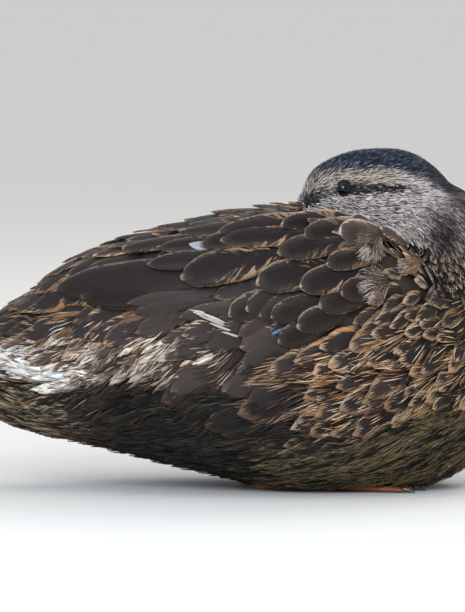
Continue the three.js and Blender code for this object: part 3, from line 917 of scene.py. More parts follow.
# the colours of core, rim and marks, the shares of fringe, one-sidedness and marks, and how deep the root is
bigKinds = {
    "tertial": (0x1E1716, 0x94837A, 0x32261F, (0.8, 1.0, 0.1), 4.5),
    "scapular": (0x1B1413, 0xBCA892, 0x92735A, (0.5, 1.0, 0.9), 4.5),
    "covert": (0x201814, 0xA8968A, 0x3A312A, (0.6, 1.0, 0.15), 4.0),
    "flight": (0x322D2A, 0x80756C, 0x3E3834, (0.4, 0.0, 0.0), 4.0),
    "white": (0xB3ABA2, 0xD8D3CB, 0x8A7F73, (0.5, 0.0, 0.6), 4.5),
    "blue": (0x4A7692, 0x6A98B2, 0x2A4C64, (0.3, 0.0, 0.6), 5.0),
    "blueGrey": (0x8F959F, 0xB4B8C0, 0x5F5C60, (0.8, 0.0, 0.6), 4.5),
    "frayed": (0x40312C, 0xD2C4B8, 0x7A5843, (0.8, 1.0, 0.8), 3.5),
    "tanSpray": (0x80603F, 0xB9987A, 0x4A362A, (0.15, 0.0, 0.4), 1.2),
    "spray": (0x4C3D38, 0xA08C7E, 0x7A5E4C, (0.15, 0.0, 0.0), 1.2),
    "paleSpray": (0xA29387, 0xD8CEC4, 0x9A8674, (0.3, 0.0, 0.0), 1.2),
    "innerTail": (0x2A221F, 0xB7A184, 0x8A6A48, (1.3, 0.0, 0.6), 0.0),
    "middleTail": (0x4A3D34, 0xD9CFBE, 0xA99474, (2.4, 0.0, 0.8), 0.0),
    "outerTail": (0xC9C0B2, 0xEFEBE4, 0x75675A, (3.2, 0.0, 0.4), 0.0),
}
wingStyle = {
    "rows": 16, "across": 8, "fullAt": 0.5, "baseWidth": 0.45, "blunt": 2.6, "taper": 0.55, "ragged": 0.03,
    "arch": 0.035, "droop": 0.7, "thickness": 0.24, "wrap": 0.75, "bow": 0.03, "evening": 5,
    "standOff": 3.0,     # how far a feather may stand off the form beside the head, mm
    "unlike": 1.6,       # how far the left wing's feathers are from the right's
    "lower": 6.0,        # and how much lower they lie
}
barStyle = {**wingStyle, "across": 4, "rows": 8, "baseWidth": 0.05, "fullAt": 0.6, "blunt": 1.6, "droop": 0.1,
            "ragged": 0.14}
sprayStyle = {
    "rows": 5, "across": 2, "fullAt": 0.6, "baseWidth": 0.5, "blunt": 1.6, "taper": 0.8, "ragged": 0.1,
    "arch": 0.1, "droop": 0.0, "thickness": 0.14, "wrap": 0.0, "evening": 1, "barbs": 120, "width": 0.46,
    "bow": 1.2,
}


def underPlan(points, margin=0.0):
    # whether each point lies under one of the wing's big feathers, seen from the side
    x, z = points[:, 0] / mm, points[:, 2] / mm + wingStyle["lower"] * (points[:, 1] > 0)
    under = np.zeros(len(points), bool)
    for _, rootX, rootZ, tipX, tipZ, width, _ in wingPlan:
        reach = math.hypot(tipX - rootX, tipZ - rootZ)
        aheadX, aheadZ = (tipX - rootX) / reach, (tipZ - rootZ) / reach
        along = (x - rootX) * aheadX + (z - rootZ) * aheadZ
        aside = np.abs((x - rootX) * aheadZ - (z - rootZ) * aheadX)
        under |= (along > margin) & (along < reach - 2 * margin) & (aside < width / 2 - margin)
    for k in np.flatnonzero(under):
        x, y, z = points[k]
        start, inwards = Vector((x, math.copysign(0.3, y), z)), Vector((0, math.copysign(1, -y), 0))
        spot = surface["tree"].ray_cast(start, inwards)[0]
        under[k] = spot is not None and abs(spot.y - y) < 6 * mm   # not where something else hides it
    return under


# contour feathers
broadStyle = {
    "rows": 7, "across": 6, "fullAt": 0.45, "baseWidth": 0.5, "blunt": 2.0, "taper": 0.6, "follow": 0.8,
    "stiffness": 1, "ragged": 0.12, "arch": 0.03, "droop": 0.45, "thickness": 0.2, "wrap": 0.8,
}
narrowStyle = {
    "rows": 5, "across": 2, "fullAt": 0.4, "baseWidth": 0.5, "blunt": 1.8, "taper": 0.65, "follow": 0.8,
    "stiffness": 1, "ragged": 0.12, "arch": 0.08, "droop": 0.1, "thickness": 0.16, "wrap": 0.0,
}


def contourSites(rng):
    roomAlong, roomAcross = (np.maximum(tractField(key), 0.8) for key in ("along", "across"))
    sites = dress(scattered(roomAlong, roomAcross, 1 - headReach, rng), rng)
    facingBack = normalsAt(sites["corners"], sites["parts"])[:, 0] < -0.72
    sites = only(sites, ~(facingBack & (sites["place"][:, 0] < -0.12)))
    # small where the body's feathers meet the neck and the head
    onNeck = readField(places["neck"] + places["head"], sites["corners"], sites["parts"])
    meeting = smoothstep(0.04, 0.2, onNeck) * (sites["tract"] != "neck")
    for key, most in (("length", 10), ("width", 5), ("lift", 0.3)):
        sites[key] = sites[key] * (1 - meeting) + np.minimum(sites[key], most) * meeting
    sites["plan"] *= (1 - 0.4 * meeting)[:, None]
    sites["lift"] = sites["lift"] * np.where(np.isin(sites["tract"], ["back", "rump", "scapular"]), 0.4, 1.0)
    sites["loose"] = 1 - smoothstep(-136, -104, sites["place"][:, 0] / mm)
    # pressed down under the wing's big feathers, and none where these cover them
    ahead = readField(flow, sites["corners"], sites["parts"]) * sites["length"][:, None] * mm
    place = sites["place"]
    underWing = underPlan(place + 0.55 * ahead) | underPlan(place + 0.95 * ahead)
    covered = underPlan(place + 0.5 * ahead, 1.5) & underPlan(place + ahead, 1.5)
    sites["layer"] = sites["layer"] - 2.6 * underWing
    sites["lift"] = sites["lift"] * np.where(underWing, 0.15, 1.0)
    sites["tip"] = place + 0.7 * ahead
    sites = only(sites, ~covered)
    # darker low on the flank: the feathers' own darker colour with painted shade for the shadow beneath the
    # bird; and plain down the back of the neck
    tipX, _, tipZ = sites.pop("tip").T / mm
    # painted shade: feathers whose tips lie low on the flank are darkened for the shadow beneath the bird
    paintedShadeLow = smoothstep(78, 56, tipZ) * (0.7 * band(-60, 45, tipX, 12) + 0.25 * band(45, 120, tipX, 12))
    for key in ("core", "rim", "mark"):
        sites[key] = sites[key] * (1 - paintedShadeLow * (sites["tract"] != "belly"))[:, None]
    u, side, rise = headCoordinates(sites["place"])
    hindneck = np.exp(-(side / 13) ** 2) * smoothstep(-82, -56, u) * (rise > -30) * (sites["tract"] == "neck")
    sites["plan"][:, 0] *= 1 - 0.75 * hindneck
    sites["rim"] *= 1 - 0.4 * hindneck[:, None]
    return sites


rng = np.random.default_rng(11)
sites = contourSites(rng)
say(f"{len(sites['place'])} contour feathers")
onNeck = sites["tract"] == "neck"
narrow = np.isin(sites["tract"], ["neck", "thigh", "belly", "darkBelly", "vent", "white"])
onRight, fore = sites["place"][:, 1] < 0, sites["place"][:, 0] / mm > 40
for name, keep, style, slot in (("foreFeathersRight", ~narrow & onRight & fore, broadStyle, "plumage"),
                                ("foreFeathersLeft", ~narrow & ~onRight & fore, broadStyle, "plumage"),
                                ("rearFeathers", ~narrow & ~fore, broadStyle, "plumage"),
                                ("fineFeathers", narrow & ~onNeck, narrowStyle, "plumage"),
                                ("neckFeathers", onNeck, narrowStyle, "head_plumage")):
    kept = only(sites, keep)
    finishPiece(vanes(name, kept, style, rng, drapedSpines(kept, style)), feathered, slot)


def besideForm(x, z, side):
    # where a line straight in from one side meets the form, or beside the head the wing's own slope carried
    # on, and whether it is the form
    spot, _, face, _ = surface["tree"].ray_cast(Vector((x, side * 0.3, z)), Vector((0, -side, 0)))
    if not spot:
        return (*surface["tree"].find_nearest(Vector((x, side * 0.02, z)))[0], 1)
    corner = surface["triangles"][face][0]
    if places["head"][corner] + places["neck"][corner] < 0.3:
        return (*spot, 1)
    wing = wingTrees[side].find_nearest(Vector((x, side * 0.05, z)))[0]
    guess = Vector((x, wing.y - side * 0.35 * max(z - wing.z, 0), z))
    nearest, _, _, gap = surface["tree"].find_nearest(guess)
    return (*nearest.lerp(guess, min(1, wingStyle["standOff"] * mm / max(gap, 1e-6))), 0)


wingTrees = {-1: treeOf("wing_right"), 1: treeOf("wing_left")}


def castSpines(ends, bow, style, side):
    # lines over the form between two ends seen from the side, evened out as stiff feathers lie
    steps = vaneShares(style)[:, None]
    x = ends[:, 0] * (1 - steps) + ends[:, 2] * steps
    z = ends[:, 1] * (1 - steps) + ends[:, 3] * steps + 4 * steps * (1 - steps) * bow
    line = np.array([besideForm(px * mm, pz * mm, s) for row in zip(x, z) for px, pz, s in zip(*row, side)])
    line = line.reshape(len(steps), len(ends), 4)
    onForm = line[..., 3].min(0)
    line = line[..., :3]
    _, corners, parts = snapped(line.reshape(-1, 3))
    beside = unit(np.stack([0 * side, side, 0.4 * np.abs(side)], 1))
    normals = np.where(onForm[:, None] > 0.5, normalsAt(corners, parts).reshape(line.shape), beside[None])
    line, normals = evened(line, normals, style["evening"])
    return (line, normals, alongSurface(np.gradient(line, axis=0), normals)), onForm


def dressBig(names, widths, layers, line, rng, tone=0.08):
    count = len(names)
    codes, plans, sinks = zip(*((bigKinds[name][:3], bigKinds[name][3], bigKinds[name][4]) for name in names))
    site = {"length": np.linalg.norm(np.diff(line, axis=0), axis=2).sum(0) / mm,
            "width": np.array(widths, float), "layer": np.array(layers, float),
            "lift": rng.uniform(0.5, 1.2, count), "dice": rng.random(count), "sink": np.array(sinks, float)}
    for k, key in enumerate(("core", "rim", "mark")):
        site[key] = np.array([srgb(code[k]) for code in codes]) * np.exp(rng.normal(0, tone, (count, 1)))
    site["plan"] = np.array(plans) * rng.uniform(0.5, 1.3, (count, 3))
    site["plan"][:, 1] *= -np.sign(line[0, :, 1])   # which edge is the upper one
    # a square of the map to each feather
    across, cells = math.ceil(math.sqrt(count)), np.arange(count)
    site["rootUv"] = (np.stack([cells % across, cells // across], 1) + 0.5) / across
    site["patch"] = np.full(count, 0.94 / across)
    return site


def wingFeathers(name, plan, style, rng):
    ends = np.array([entry[1:5] for entry in plan], float)
    other = ends + rng.normal(0, style["unlike"], ends.shape) - (0, style["lower"], 0, style["lower"])
    ends = np.concatenate([ends, other])
    bow = np.hypot(ends[:, 0] - ends[:, 2], ends[:, 1] - ends[:, 3]) * style["bow"]
    spines, onForm = castSpines(ends, bow, style, np.repeat([-1, 1], len(plan)))
    names, widths, layers = ([entry[k] for entry in plan] * 2 for k in (0, 5, 6))
    site = dressBig(names, widths, layers, spines[0], rng)
    site["wrap"] = style["wrap"] * onForm
    return vanes(name, site, style, rng, spines)


def blownFeathers(s, rng):
    # barbs fanned about each middle one, brown at the heart of the spray and pale at its lower edge
    ends, names, side = [], [], []
    for x, z, tipX, tipZ, breadth, upper, lower in sprayPlan:
        reach, aim = math.hypot(tipX - x, tipZ - z), math.atan2(tipZ - z, tipX - x)
        for sign in [-1] * s["barbs"] + [1] * s["barbs"]:
            share = rng.uniform(-1, 1)
            angle = aim + math.radians(breadth) * share
            pale = rng.random() < 0.12 + 0.55 * (abs(share - 0.15) < 0.45)
            long = reach * (1 - 0.3 * share ** 2) * rng.uniform(0.75, 1.05)
            start = reach * (rng.uniform(0.45, 0.6) if pale else rng.uniform(0.1, 0.35))
            ends.append((x + start * math.cos(angle), z + start * math.sin(angle),
                         x + long * math.cos(angle), z + long * math.sin(angle)))
            names.append(lower if pale else upper)
            side.append(sign)
    bow = rng.normal(0, s["bow"], len(ends))
    spines, _ = castSpines(np.array(ends), bow, s, np.array(side))
    widths = s["width"] * rng.uniform(0.7, 1.3, len(ends))
    site = dressBig(names, widths, rng.uniform(2.6, 3.6, len(ends)), spines[0], rng, 0.2)
    site["rootUv"], site["patch"] = rootUvs(spines[0][0]), np.full(len(ends), 0.003)
    return vanes("blownFeathers", site, s, rng, spines)


sleek = featherMaterial("sleekFeathers", {
    **plumageStyle, "fray": 2.6, "toneSpread": 0.5, "barbs": 1.5, "roughness": 0.5, "bump": 0.45,
    "fringeSpread": 1.9, "gaps": 0.35, "upperEdge": 0.85, "barbSlant": 1.15, "warmEdge": 0.4,
    "specular": 0.12, "patchDrift": 3.4, "fewPatches": 0.03, "wornEdge": 0.05})
finishPiece(wingFeathers("wingFeathers", wingPlan, wingStyle, np.random.default_rng(31)), sleek, "flight")
finishPiece(wingFeathers("wingBars", barPlan, barStyle, np.random.default_rng(35)), sleek, "flight")
finishPiece(blownFeathers(sprayStyle, np.random.default_rng(33)), feathered)

# the tail, a closed fan, its outer feathers the lowest
tailStyle = {
    "rows": 10, "across": 8, "fullAt": 0.55, "baseWidth": 0.4, "blunt": 2.1, "taper": 0.8, "ragged": 0.03,
    "arch": 0.05, "droop": 0.3, "thickness": 0.25, "wrap": 0.0, "arching": 0.0065,
    "root": (-102, 20, 83), "length": 74, "turns": (1.3, 2.75), "slope": 5, "width": 17, "step": 0.45,
    "kinds": ["innerTail"] * 4 + ["middleTail"] * 3 + ["outerTail"] * 2,
}


def tailFeathers(s, rng):
    pairs = len(s["kinds"])
    rank, side = np.tile(np.arange(pairs), 2), np.repeat([-1, 1], pairs)
    share = rank / (pairs - 1)
    turn, slope = np.radians(s["turns"][0] + s["turns"][1] * rank), math.radians(s["slope"])
    steps = vaneShares(s)[:, None, None]
    x, y, z = s["root"]
    root = np.stack([np.full(len(rank), x), side * y * share, z - s["step"] * rank], 1)
    heading = np.stack([-np.cos(turn) * math.cos(slope), side * np.sin(turn) * math.cos(slope),
                        np.full(len(rank), -math.sin(slope))], 1)
    line = root[None] + heading[None] * steps * (s["length"] * (1 - 0.16 * share ** 2))[None, :, None]
    fall = s["arching"] * line[..., 1]
    line[..., 2] -= 0.5 * fall * line[..., 1]
    line *= mm
    headings = np.broadcast_to(heading, line.shape)
    normals = alongSurface(np.stack([0 * fall, fall, np.ones_like(fall)], 2), headings)
    site = dressBig(s["kinds"] * 2, np.full(len(rank), s["width"]), 0 * share, line, rng)
    return vanes("tailFeathers", site, s, rng, (line, normals, headings))


finishPiece(tailFeathers(tailStyle, np.random.default_rng(37)), sleek, "flight", "tail")


# loose barbs: slivers over the softer feathers, which a node tree scatters
barbStyle = {
    "gap": 1.3 * mm,
    "density": 640000.0,      # to a square metre, before the tracts thin it
    "length": 11.0 * mm,
    "width": 0.55 * mm,
    "thickness": 0.26 * mm,
    "spread": 7.0,            # degrees to each side of the lie
    "drift": 13.0, "driftTurn": 48,   # and the drifts in which they turn together, mm and degrees
    "tilt": 3.5,              # degrees off the surface
    "sunk": 0.9 * mm,
    "patch": 0.003,
    "clumping": 0.7,
}
barbInputs = ("gap", "density", "length", "width", "thickness", "spread", "tilt", "patch")


def barbBed(s, keep):
    # a copy of the form that carries what the barbs are to be
    bed = linked("barbBed", form.data.copy())
    points, normals = surface["points"], surface["normals"]
    setVertices(bed.data, points - normals * s["sunk"])
    low = 1 - 0.75 * smoothstep(12, 4, places["z"])
    paler = s["clumping"] * blotchesAt(points) * np.clip(tractField("blotch"), 0.6, 1.4)
    turns = noiseOf(points / mm / s["drift"], math.radians(s["driftTurn"]))
    carried = {"barbShare": tractField("barbs") * low * (places["wing"] < 0.08) * (1 - headReach) * keep,
               "barbPale": np.clip(tractField("paleBarbs") + paler, 0.03, 0.97),
               "barbLength": tractField("barbLength"), "lieOfCoat": turnedAbout(flow, normals, turns),
               "barbDark": rgba(tractColour("core") * 0.9), "barbWarm": rgba(tractColour("mark")),
               "barbLight": rgba(np.clip(tractColour("rim") * 1.05, 0, 1))}
    for key, values in carried.items():
        addAttribute(bed.data, key, values)
    layers = bed.data.uv_layers
    corners = fetched(layers["OFBake"].uv, "vector", len(bed.data.loops), 2, np.float32).ravel()
    bed.data.attributes.new("rootPlace", "FLOAT2", "CORNER").data.foreach_set("vector", corners)
    layers.remove(layers["OFBake"])
    return bed


def barbTree():
    tree = bpy.data.node_groups.new("looseBarbs", "GeometryNodeTree")
    kinds = {"Geometry": "Geometry", **{key.capitalize(): "Float" for key in barbInputs}, "Seed": "Int",
             "Material": "Material"}
    for label, kind in kinds.items():
        tree.interface.new_socket(label, in_out="INPUT", socket_type="NodeSocket" + kind)
    tree.interface.new_socket("Geometry", in_out="OUTPUT", socket_type="NodeSocketGeometry")
    add = nodeAdder(tree)
    given = add("NodeGroupInput")

    def random(low, high, extra):
        return add("FunctionNodeRandomValue", {2: low, 3: high, 8: given["Seed"] + float(extra)}, output=1)

    def named(label, kind="FLOAT"):
        return add("GeometryNodeInputNamedAttribute", {"Name": label}, data_type=kind)

    def store(geometry, label, value, kind, domain):
        return add("GeometryNodeStoreNamedAttribute", {"Geometry": geometry, "Name": label, "Value": value},
                   data_type=kind, domain=domain)

    def join(x, y, z=0.0):
        return add("ShaderNodeCombineXYZ", {0: x, 1: y, 2: z})

    scatter = add("GeometryNodeDistributePointsOnFaces",
                  {"Mesh": given["Geometry"], "Distance Min": given["Gap"], "Density Max": given["Density"],
                   "Density Factor": named("barbShare"), "Seed": given["Seed"]}, distribute_method="POISSON")
    cone = add("GeometryNodeMeshCone", {"Vertices": 3, "Side Segments": 3, "Radius Top": 0.5,
                                        "Radius Bottom": 0.5, "Depth": 1.0})
    # a sliver as thick as a barb, swollen in its middle and bowed
    x, y, z = add("ShaderNodeSeparateXYZ", {0: add("GeometryNodeInputPosition")})
    swell = (z * 2.5 + 0.42).math("SINE")
    laid = join(z, y * swell * -1.15, x * swell + z * (1.0 - z) * 2.4)
    marked = store(cone, "vane", join(y + 0.5, z), "FLOAT2", "CORNER")
    sliver = add("GeometryNodeSetPosition", {"Geometry": marked, "Position": laid})
    # turned to the lie of the coat, with a random lean
    facing = add("FunctionNodeAxesToRotation", {0: scatter["Normal"], 1: named("lieOfCoat", "FLOAT_VECTOR")},
                 primary_axis="Z", secondary_axis="X")
    aside = random(given["Spread"] * -1.0, given["Spread"], 1)
    lean = scaled(join(0.0, given["Tilt"] * random(-1.4, 0.2, 2), aside), math.pi / 180)
    turned = add("FunctionNodeRotateRotation", {0: facing, 1: add("FunctionNodeEulerToRotation", {0: lean})},
                 rotation_space="LOCAL")
    long = given["Length"] * named("barbLength") * random(0.6, 1.35, 3)
    size = join(long, given["Width"] * random(0.65, 1.35, 4), given["Thickness"])
    diced = store(scatter["Points"], "dice", random(0.0, 1.0, 5), "FLOAT", "POINT")
    placed = add("GeometryNodeInstanceOnPoints", {"Points": diced, "Instance": sliver, "Rotation": turned,
                                                  "Scale": size})
    real = add("GeometryNodeRealizeInstances", {"Geometry": placed})
    # each sliver a patch of the map at its root's place
    vane, rootPlace = named("vane", "FLOAT_VECTOR"), named("rootPlace", "FLOAT_VECTOR")
    centred = add("ShaderNodeVectorMath", {0: vane, 1: (-0.5, -0.5, 0)}, operation="ADD")
    baked = add("ShaderNodeVectorMath", {0: rootPlace, 1: scaled(centred, given["Patch"])}, operation="ADD")
    mapped = store(real, "OFBake", baked, "FLOAT2", "CORNER")
    finished = add("GeometryNodeSetMaterial", {"Geometry": mapped, "Material": given["Material"]})
    add("NodeGroupOutput", {0: finished})
    return tree


def barbMaterial():
    add, read, noiseAt, finish = newMaterial("looseBarbs")
    _, along, _ = add("ShaderNodeSeparateXYZ", {0: add("ShaderNodeUVMap", uv_map="vane")})
    dice, pale = read("dice", 2), read("barbPale", 2)
    dark, warm, light = (read("barb" + key) for key in ("Dark", "Warm", "Light"))
    ofPale = dice.math("DIVIDE", pale)
    colour = blend(ramp(0.42, 0.62, ofPale), light, warm)
    colour = blend(ofPale.math("GREATER_THAN", 1.0), colour, dark)
    place = add("ShaderNodeCombineXYZ", {0: along * 2.2, 1: dice * 400.0})
    tone = (noiseAt(place, 1.0, 1.0) * 0.9 + 0.5) * (ramp(0.0, 0.5, along) * 0.5 + 0.5)
    return finish({"Base Color": scaled(colour, tone), "Roughness": 0.6, "Specular IOR Level": 0.2})


def looseBarbs(name, side, fore, seed, tree, material, s):
    bed = barbBed(s, (side * places["y"] > 0) & (fore == (places["x"] > 45)))
    modifier = bed.modifiers.new("looseBarbs", "NODES")
    modifier.node_group = tree
    sockets = {item.name: item.identifier for item in tree.interface.items_tree if item.in_out == "INPUT"}
    given = {**{key.capitalize(): s[key] for key in barbInputs}, "Seed": seed, "Material": material}
    for label, value in given.items():
        modifier[sockets[label]] = value
    graph = bpy.context.evaluated_depsgraph_get()
    mesh = bpy.data.meshes.new_from_object(bed.evaluated_get(graph))
    bpy.data.objects.remove(bed)
    points = readVertices(mesh)
    points[:, 2] = np.maximum(points[:, 2], 0.3 * mm)
    setVertices(mesh, points)
    return linked(name, mesh)


barbNodes, barbLook = barbTree(), barbMaterial()
for name, side, fore, seed in (("foreBarbsRight", -1, True, 41), ("foreBarbsLeft", 1, True, 43),
                               ("rearBarbsRight", -1, False, 47), ("rearBarbsLeft", 1, False, 53)):
    finishPiece(looseBarbs(name, side, fore, seed, barbNodes, barbLook, barbStyle))


# the head's markings. Each line is u against rise, in millimetres from the eye
headMarks = {
    "crownLine": ([-53, -48, -40, -32, -26, -17, -6.5, 6, 14, 20, 27],
                  [-11, -6.5, 0.3, 3.7, 7.4, 8.6, 10.0, 10.8, 10.2, 6.2, 1]),
    "stripeSlope": 0.176,
    "stripeHalf": ([-31, -27, -14, -6, 0], [0.5, 1.6, 2.7, 3.3, 3.4]),
    "loreLine": ([0, 5, 17, 24], [0, 0.2, -0.8, -3.4]),
    "loreHalf": ([0, 5, 17, 24], [1.8, 2.2, 2.2, 3.6]),
    "loreShare": ([3, 9, 15, 20], [0.85, 0.6, 0.6, 1]),
    # the dark spot at the nape: its own dark plumage with painted shade beside the cheek, where the neck
    # curves under the turned head
    "napeSpot": (127, 148),
    "dashes": (1.7, 0.62, 3.0),   # the fine dark marks: along the lie, across it and in depth
    # the crown's blue-black and its blue-grey edges are partly painted sky reflection, over the crown's own
    # near-black
    "crown": 0x161A26, "stripe": 0x120E0C, "streak": 0x4A403E, "nape": 0x17120F,
    "brow": 0xDACDBD, "cheek": 0xE8DDD8, "throat": 0xE0D2CC, "crownEdge": 0x6A7288, "neck": 0x94806F,
}


def dashesAt(points, m):
    # from -1 to 1, in short wavy strokes that follow the lie of the head and neck
    x, y, z = (points / mm).T
    ahead, above = x - lie["neckPivot"][0], z - lie["neckPivot"][1]
    place = np.stack([48 * np.arctan2(ahead, above), np.hypot(ahead, above), y], 1)
    return noiseOf(place / m["dashes"], 1.6)


def layered(base, count, *layers):
    # one colour laid over another, by shares
    colour = np.tile(srgb(base), (count, 1))
    for share, code in layers:
        colour = colour * (1 - share[:, None]) + srgb(code) * share[:, None]
    return colour


def readHead(x, z, u, rise, m):
    # how dark the plumage is, with the colours of the dark and of the pale
    soft = 1.4 + 2.6 * smoothstep(-12, -34, u)
    crown = smoothstep(-soft, soft, rise - np.interp(u, *m["crownLine"]))
    crown = crown * (1 - 0.35 * smoothstep(-44, -58, u))
    half = np.interp(u, *m["stripeHalf"])
    behind = 1 - smoothstep(half - 0.7, half + 0.5, np.abs(rise - m["stripeSlope"] * u))
    half = np.interp(u, *m["loreHalf"])
    lores = 1 - smoothstep(half - 1.2, half + 0.8, np.abs(rise - np.interp(u, *m["loreLine"])))
    lores = lores * band(0, 29, u, 1.5) * np.interp(u, *m["loreShare"])
    stripe = np.maximum(behind * band(-29, 1, u, 1.5), lores)
    # the nape's dark, partly painted shade
    nape = np.exp(-((x - m["napeSpot"][0]) / 10) ** 2 - ((z - m["napeSpot"][1]) / 16) ** 2)
    nape = np.maximum(nape, smoothstep(-44, -56, u) * 0.5)
    brow = smoothstep(-3, 2, rise) * smoothstep(-38, -20, u)
    throat, hind = smoothstep(-14, -26, rise), smoothstep(-50, -72, u)
    dark = np.clip(0.16 + 0.64 * crown + 0.78 * stripe + 0.8 * nape + 0.34 * hind - 0.04 * throat, 0, 0.95)
    core = layered(m["streak"], len(u), (crown, m["crown"]), (stripe, m["stripe"]), (nape, m["nape"]))
    rim = layered(m["cheek"], len(u), (brow, m["brow"]), (throat, m["throat"]), (hind, m["neck"]),
                  (crown, m["crownEdge"]), (stripe * 0.6, m["crownEdge"]), (nape * 0.8, m["nape"]))
    return dark, core, rim


headStyle = {
    "rows": 3, "across": 2, "fullAt": 0.35, "baseWidth": 0.6, "blunt": 1.6, "taper": 0.7, "follow": 0.5,
    "stiffness": 0, "ragged": 0.1, "arch": 0.1, "droop": 0.0, "thickness": 0.1, "wrap": 0.0,
    "gapAlong": 1.0, "gapAcross": 0.55, "length": 4.4, "width": 0.95, "lift": 0.3, "sink": 1.5,
    "eyeClear": 4.6, "nearEye": 0.42,
}


def dressHead(site, s, rng):
    count = len(site["place"])
    fromEye = readField(places["fromEye"], site["corners"], site["parts"])
    u, _, rise = headCoordinates(site["place"])
    small = (0.3 + 0.7 * smoothstep(4.5, 13, fromEye)) * (0.6 + 0.4 * smoothstep(30, 16, u))
    scale = small * rng.normal(1, 0.14, count).clip(0.6, 1.5)
    site["length"] = s["length"] * scale * (1 + 0.8 * smoothstep(-20, -60, u))
    site["width"] = s["width"] * scale ** 0.5
    site["lift"] = s["lift"] * rng.uniform(0.3, 1.5, count) * small * (1 + 0.9 * smoothstep(6, 12, rise))
    site["sink"] = s["sink"] * small ** 1.3
    site["layer"] = rng.uniform(-0.1, 0.1, count)
    site["turn"] = rng.normal(0, 0.15, count).clip(-0.4, 0.4)
    x, _, z = site["place"].T / mm
    blur = rng.normal(0, 1, (2, count)) * (0.8 + 0.9 * smoothstep(4, 10, rise))
    dark, core, rim = readHead(x, z, u + blur[0], rise + blur[1], headMarks)
    shade = np.exp(rng.normal(0, 0.16, (count, 1)))
    # each core a random amount bluer or browner; on the crown this varies the painted blue reflection
    cool = np.exp(rng.normal(0, 1, (count, 1)) * np.array([[-0.1, 0, 0.2]]))
    site["core"], site["rim"], site["mark"] = core * shade * cool, (rim * shade).clip(0, 1), rim
    tip = site["place"] + readField(flow, site["corners"], site["parts"]) * site["length"][:, None] * 0.6 * mm
    dashes = dashesAt(tip, headMarks) * (0.75 + 0.45 * smoothstep(8, 12, rise))
    dark = (dark + dashes + rng.normal(0, 0.08, count)).clip(0, 1)
    fringe = site["width"] / 2 * (1 - dark)
    site["plan"] = np.stack([np.maximum(fringe, 0.02), 0 * dark, 0 * dark], 1)
    site["dice"] = rng.random(count)
    site["rootUv"], site["patch"] = rootUvs(site["place"]), np.full(count, 0.003)
    return site


rng = np.random.default_rng(23)
headMask = (headReach > 0.5) & (places["fromEye"] > headStyle["eyeClear"])
closer = headStyle["nearEye"] + (1 - headStyle["nearEye"]) * smoothstep(4.5, 11, places["fromEye"])
roomAlong, roomAcross = closer * headStyle["gapAlong"], closer * headStyle["gapAcross"]
sites = scattered(roomAlong, roomAcross, headMask.astype(float), rng)
sites = dressHead(sites, headStyle, rng)
headFeathered = featherMaterial("headFeathers", {
    **plumageStyle, "fray": 0.3, "barbs": 1.6, "corner": 0.2, "barbSlant": 1.15, "fringeSpread": 0.3,
    "warmEdge": 0.0, "toneSpread": 0.24, "gaps": 0.0, "down": 0.3, "specular": 0.1})
say(f"{len(sites['place'])} feathers on the head")
onLeft = sites["place"] @ headSide > headCentre @ headSide
for name, keep in (("headFeathersRight", ~onLeft), ("headFeathersLeft", onLeft)):
    kept = only(sites, keep)
    feathers = vanes(name, kept, headStyle, rng, drapedSpines(kept, headStyle))
    finishPiece(feathers, headFeathered, "head_plumage")


# eyes, each with its lids
eyeStyle = {
    "openHalfWidth": 4.5 * mm,
    "openHalfHeight": 3.7 * mm,
    "lidReach": 66,          # degrees from the middle of the eye to the lids' outer edge
    "lidThickness": 0.4 * mm,
    "pupil": 21, "iris": 44,   # degrees from the middle of the eye to their edges
    "rings": 40, "spots": 56,
    # the lids' section: the share of the way out, the height, and how far it is the bare edge
    "lidProfile": [(0.0, 0.05, 1.0), (0.0, 0.75, 1.0), (0.1, 1.0, 0.9), (0.3, 1.0, 0.5), (0.65, 0.7, 0.1),
                   (1.0, 0.2, 0.0), (1.0, -2.6, 0.0), (0.5, -1.0, 0.0), (0.12, -0.3, 0.5)],
}


def gridShell(name, points, closedRows):
    # a mesh of rings, points[ring][spot], each ring closed on itself, with the rings closed too or capped
    rings, spots = points.shape[:2]
    faces = []
    for i in range(rings if closedRows else rings - 1):
        for j in range(spots):
            k, m = (i + 1) % rings, (j + 1) % spots
            faces.append([i * spots + j, i * spots + m, k * spots + m, k * spots + j])
    if not closedRows:
        faces.append(list(range(spots))[::-1])
        faces.append(list(range((rings - 1) * spots, rings * spots)))
    mesh = bpy.data.meshes.new(name)
    mesh.from_pydata(points.reshape(-1, 3).tolist(), [], faces)
    work = bmesh.new()
    work.from_mesh(mesh)
    bmesh.ops.recalc_face_normals(work, faces=work.faces)
    work.to_mesh(mesh)
    work.free()
    smoothShaded(mesh)
    return linked(name, mesh)


def eyeMaterial(s):
    _, read, noiseAt, finish = newMaterial("wetEye")
    degrees = read("gaze", 2) + (noiseAt(None, 1400.0, 2.0) - 0.5) * 3.0
    iris = blend(ramp(s["iris"] - 8, s["iris"] + 4, degrees), 0x150C08, 0x080504)
    colour = blend(ramp(s["pupil"] - 1.0, s["pupil"] + 1.5, degrees), (0.002, 0.002, 0.002, 1), iris)
    return finish({"Base Color": colour, "Roughness": 0.1, "Specular IOR Level": 0.34,
                   "Specular Tint": (0.6, 0.7, 1.0, 1)})


def lidMaterial():
    _, read, noiseAt, finish = newMaterial("lidSkin")
    noise = noiseAt(None, 1600.0, 3.0)
    colour = blend(ramp(0.6, 1.0, read("edge", 2)) * 0.5, blend(noise, 0x120D0B, 0x261E1A), 0x2C2420)
    return finish({"Base Color": colour, "Roughness": 0.8, "Specular IOR Level": 0.15}, noise, 0.5, 0.0003)


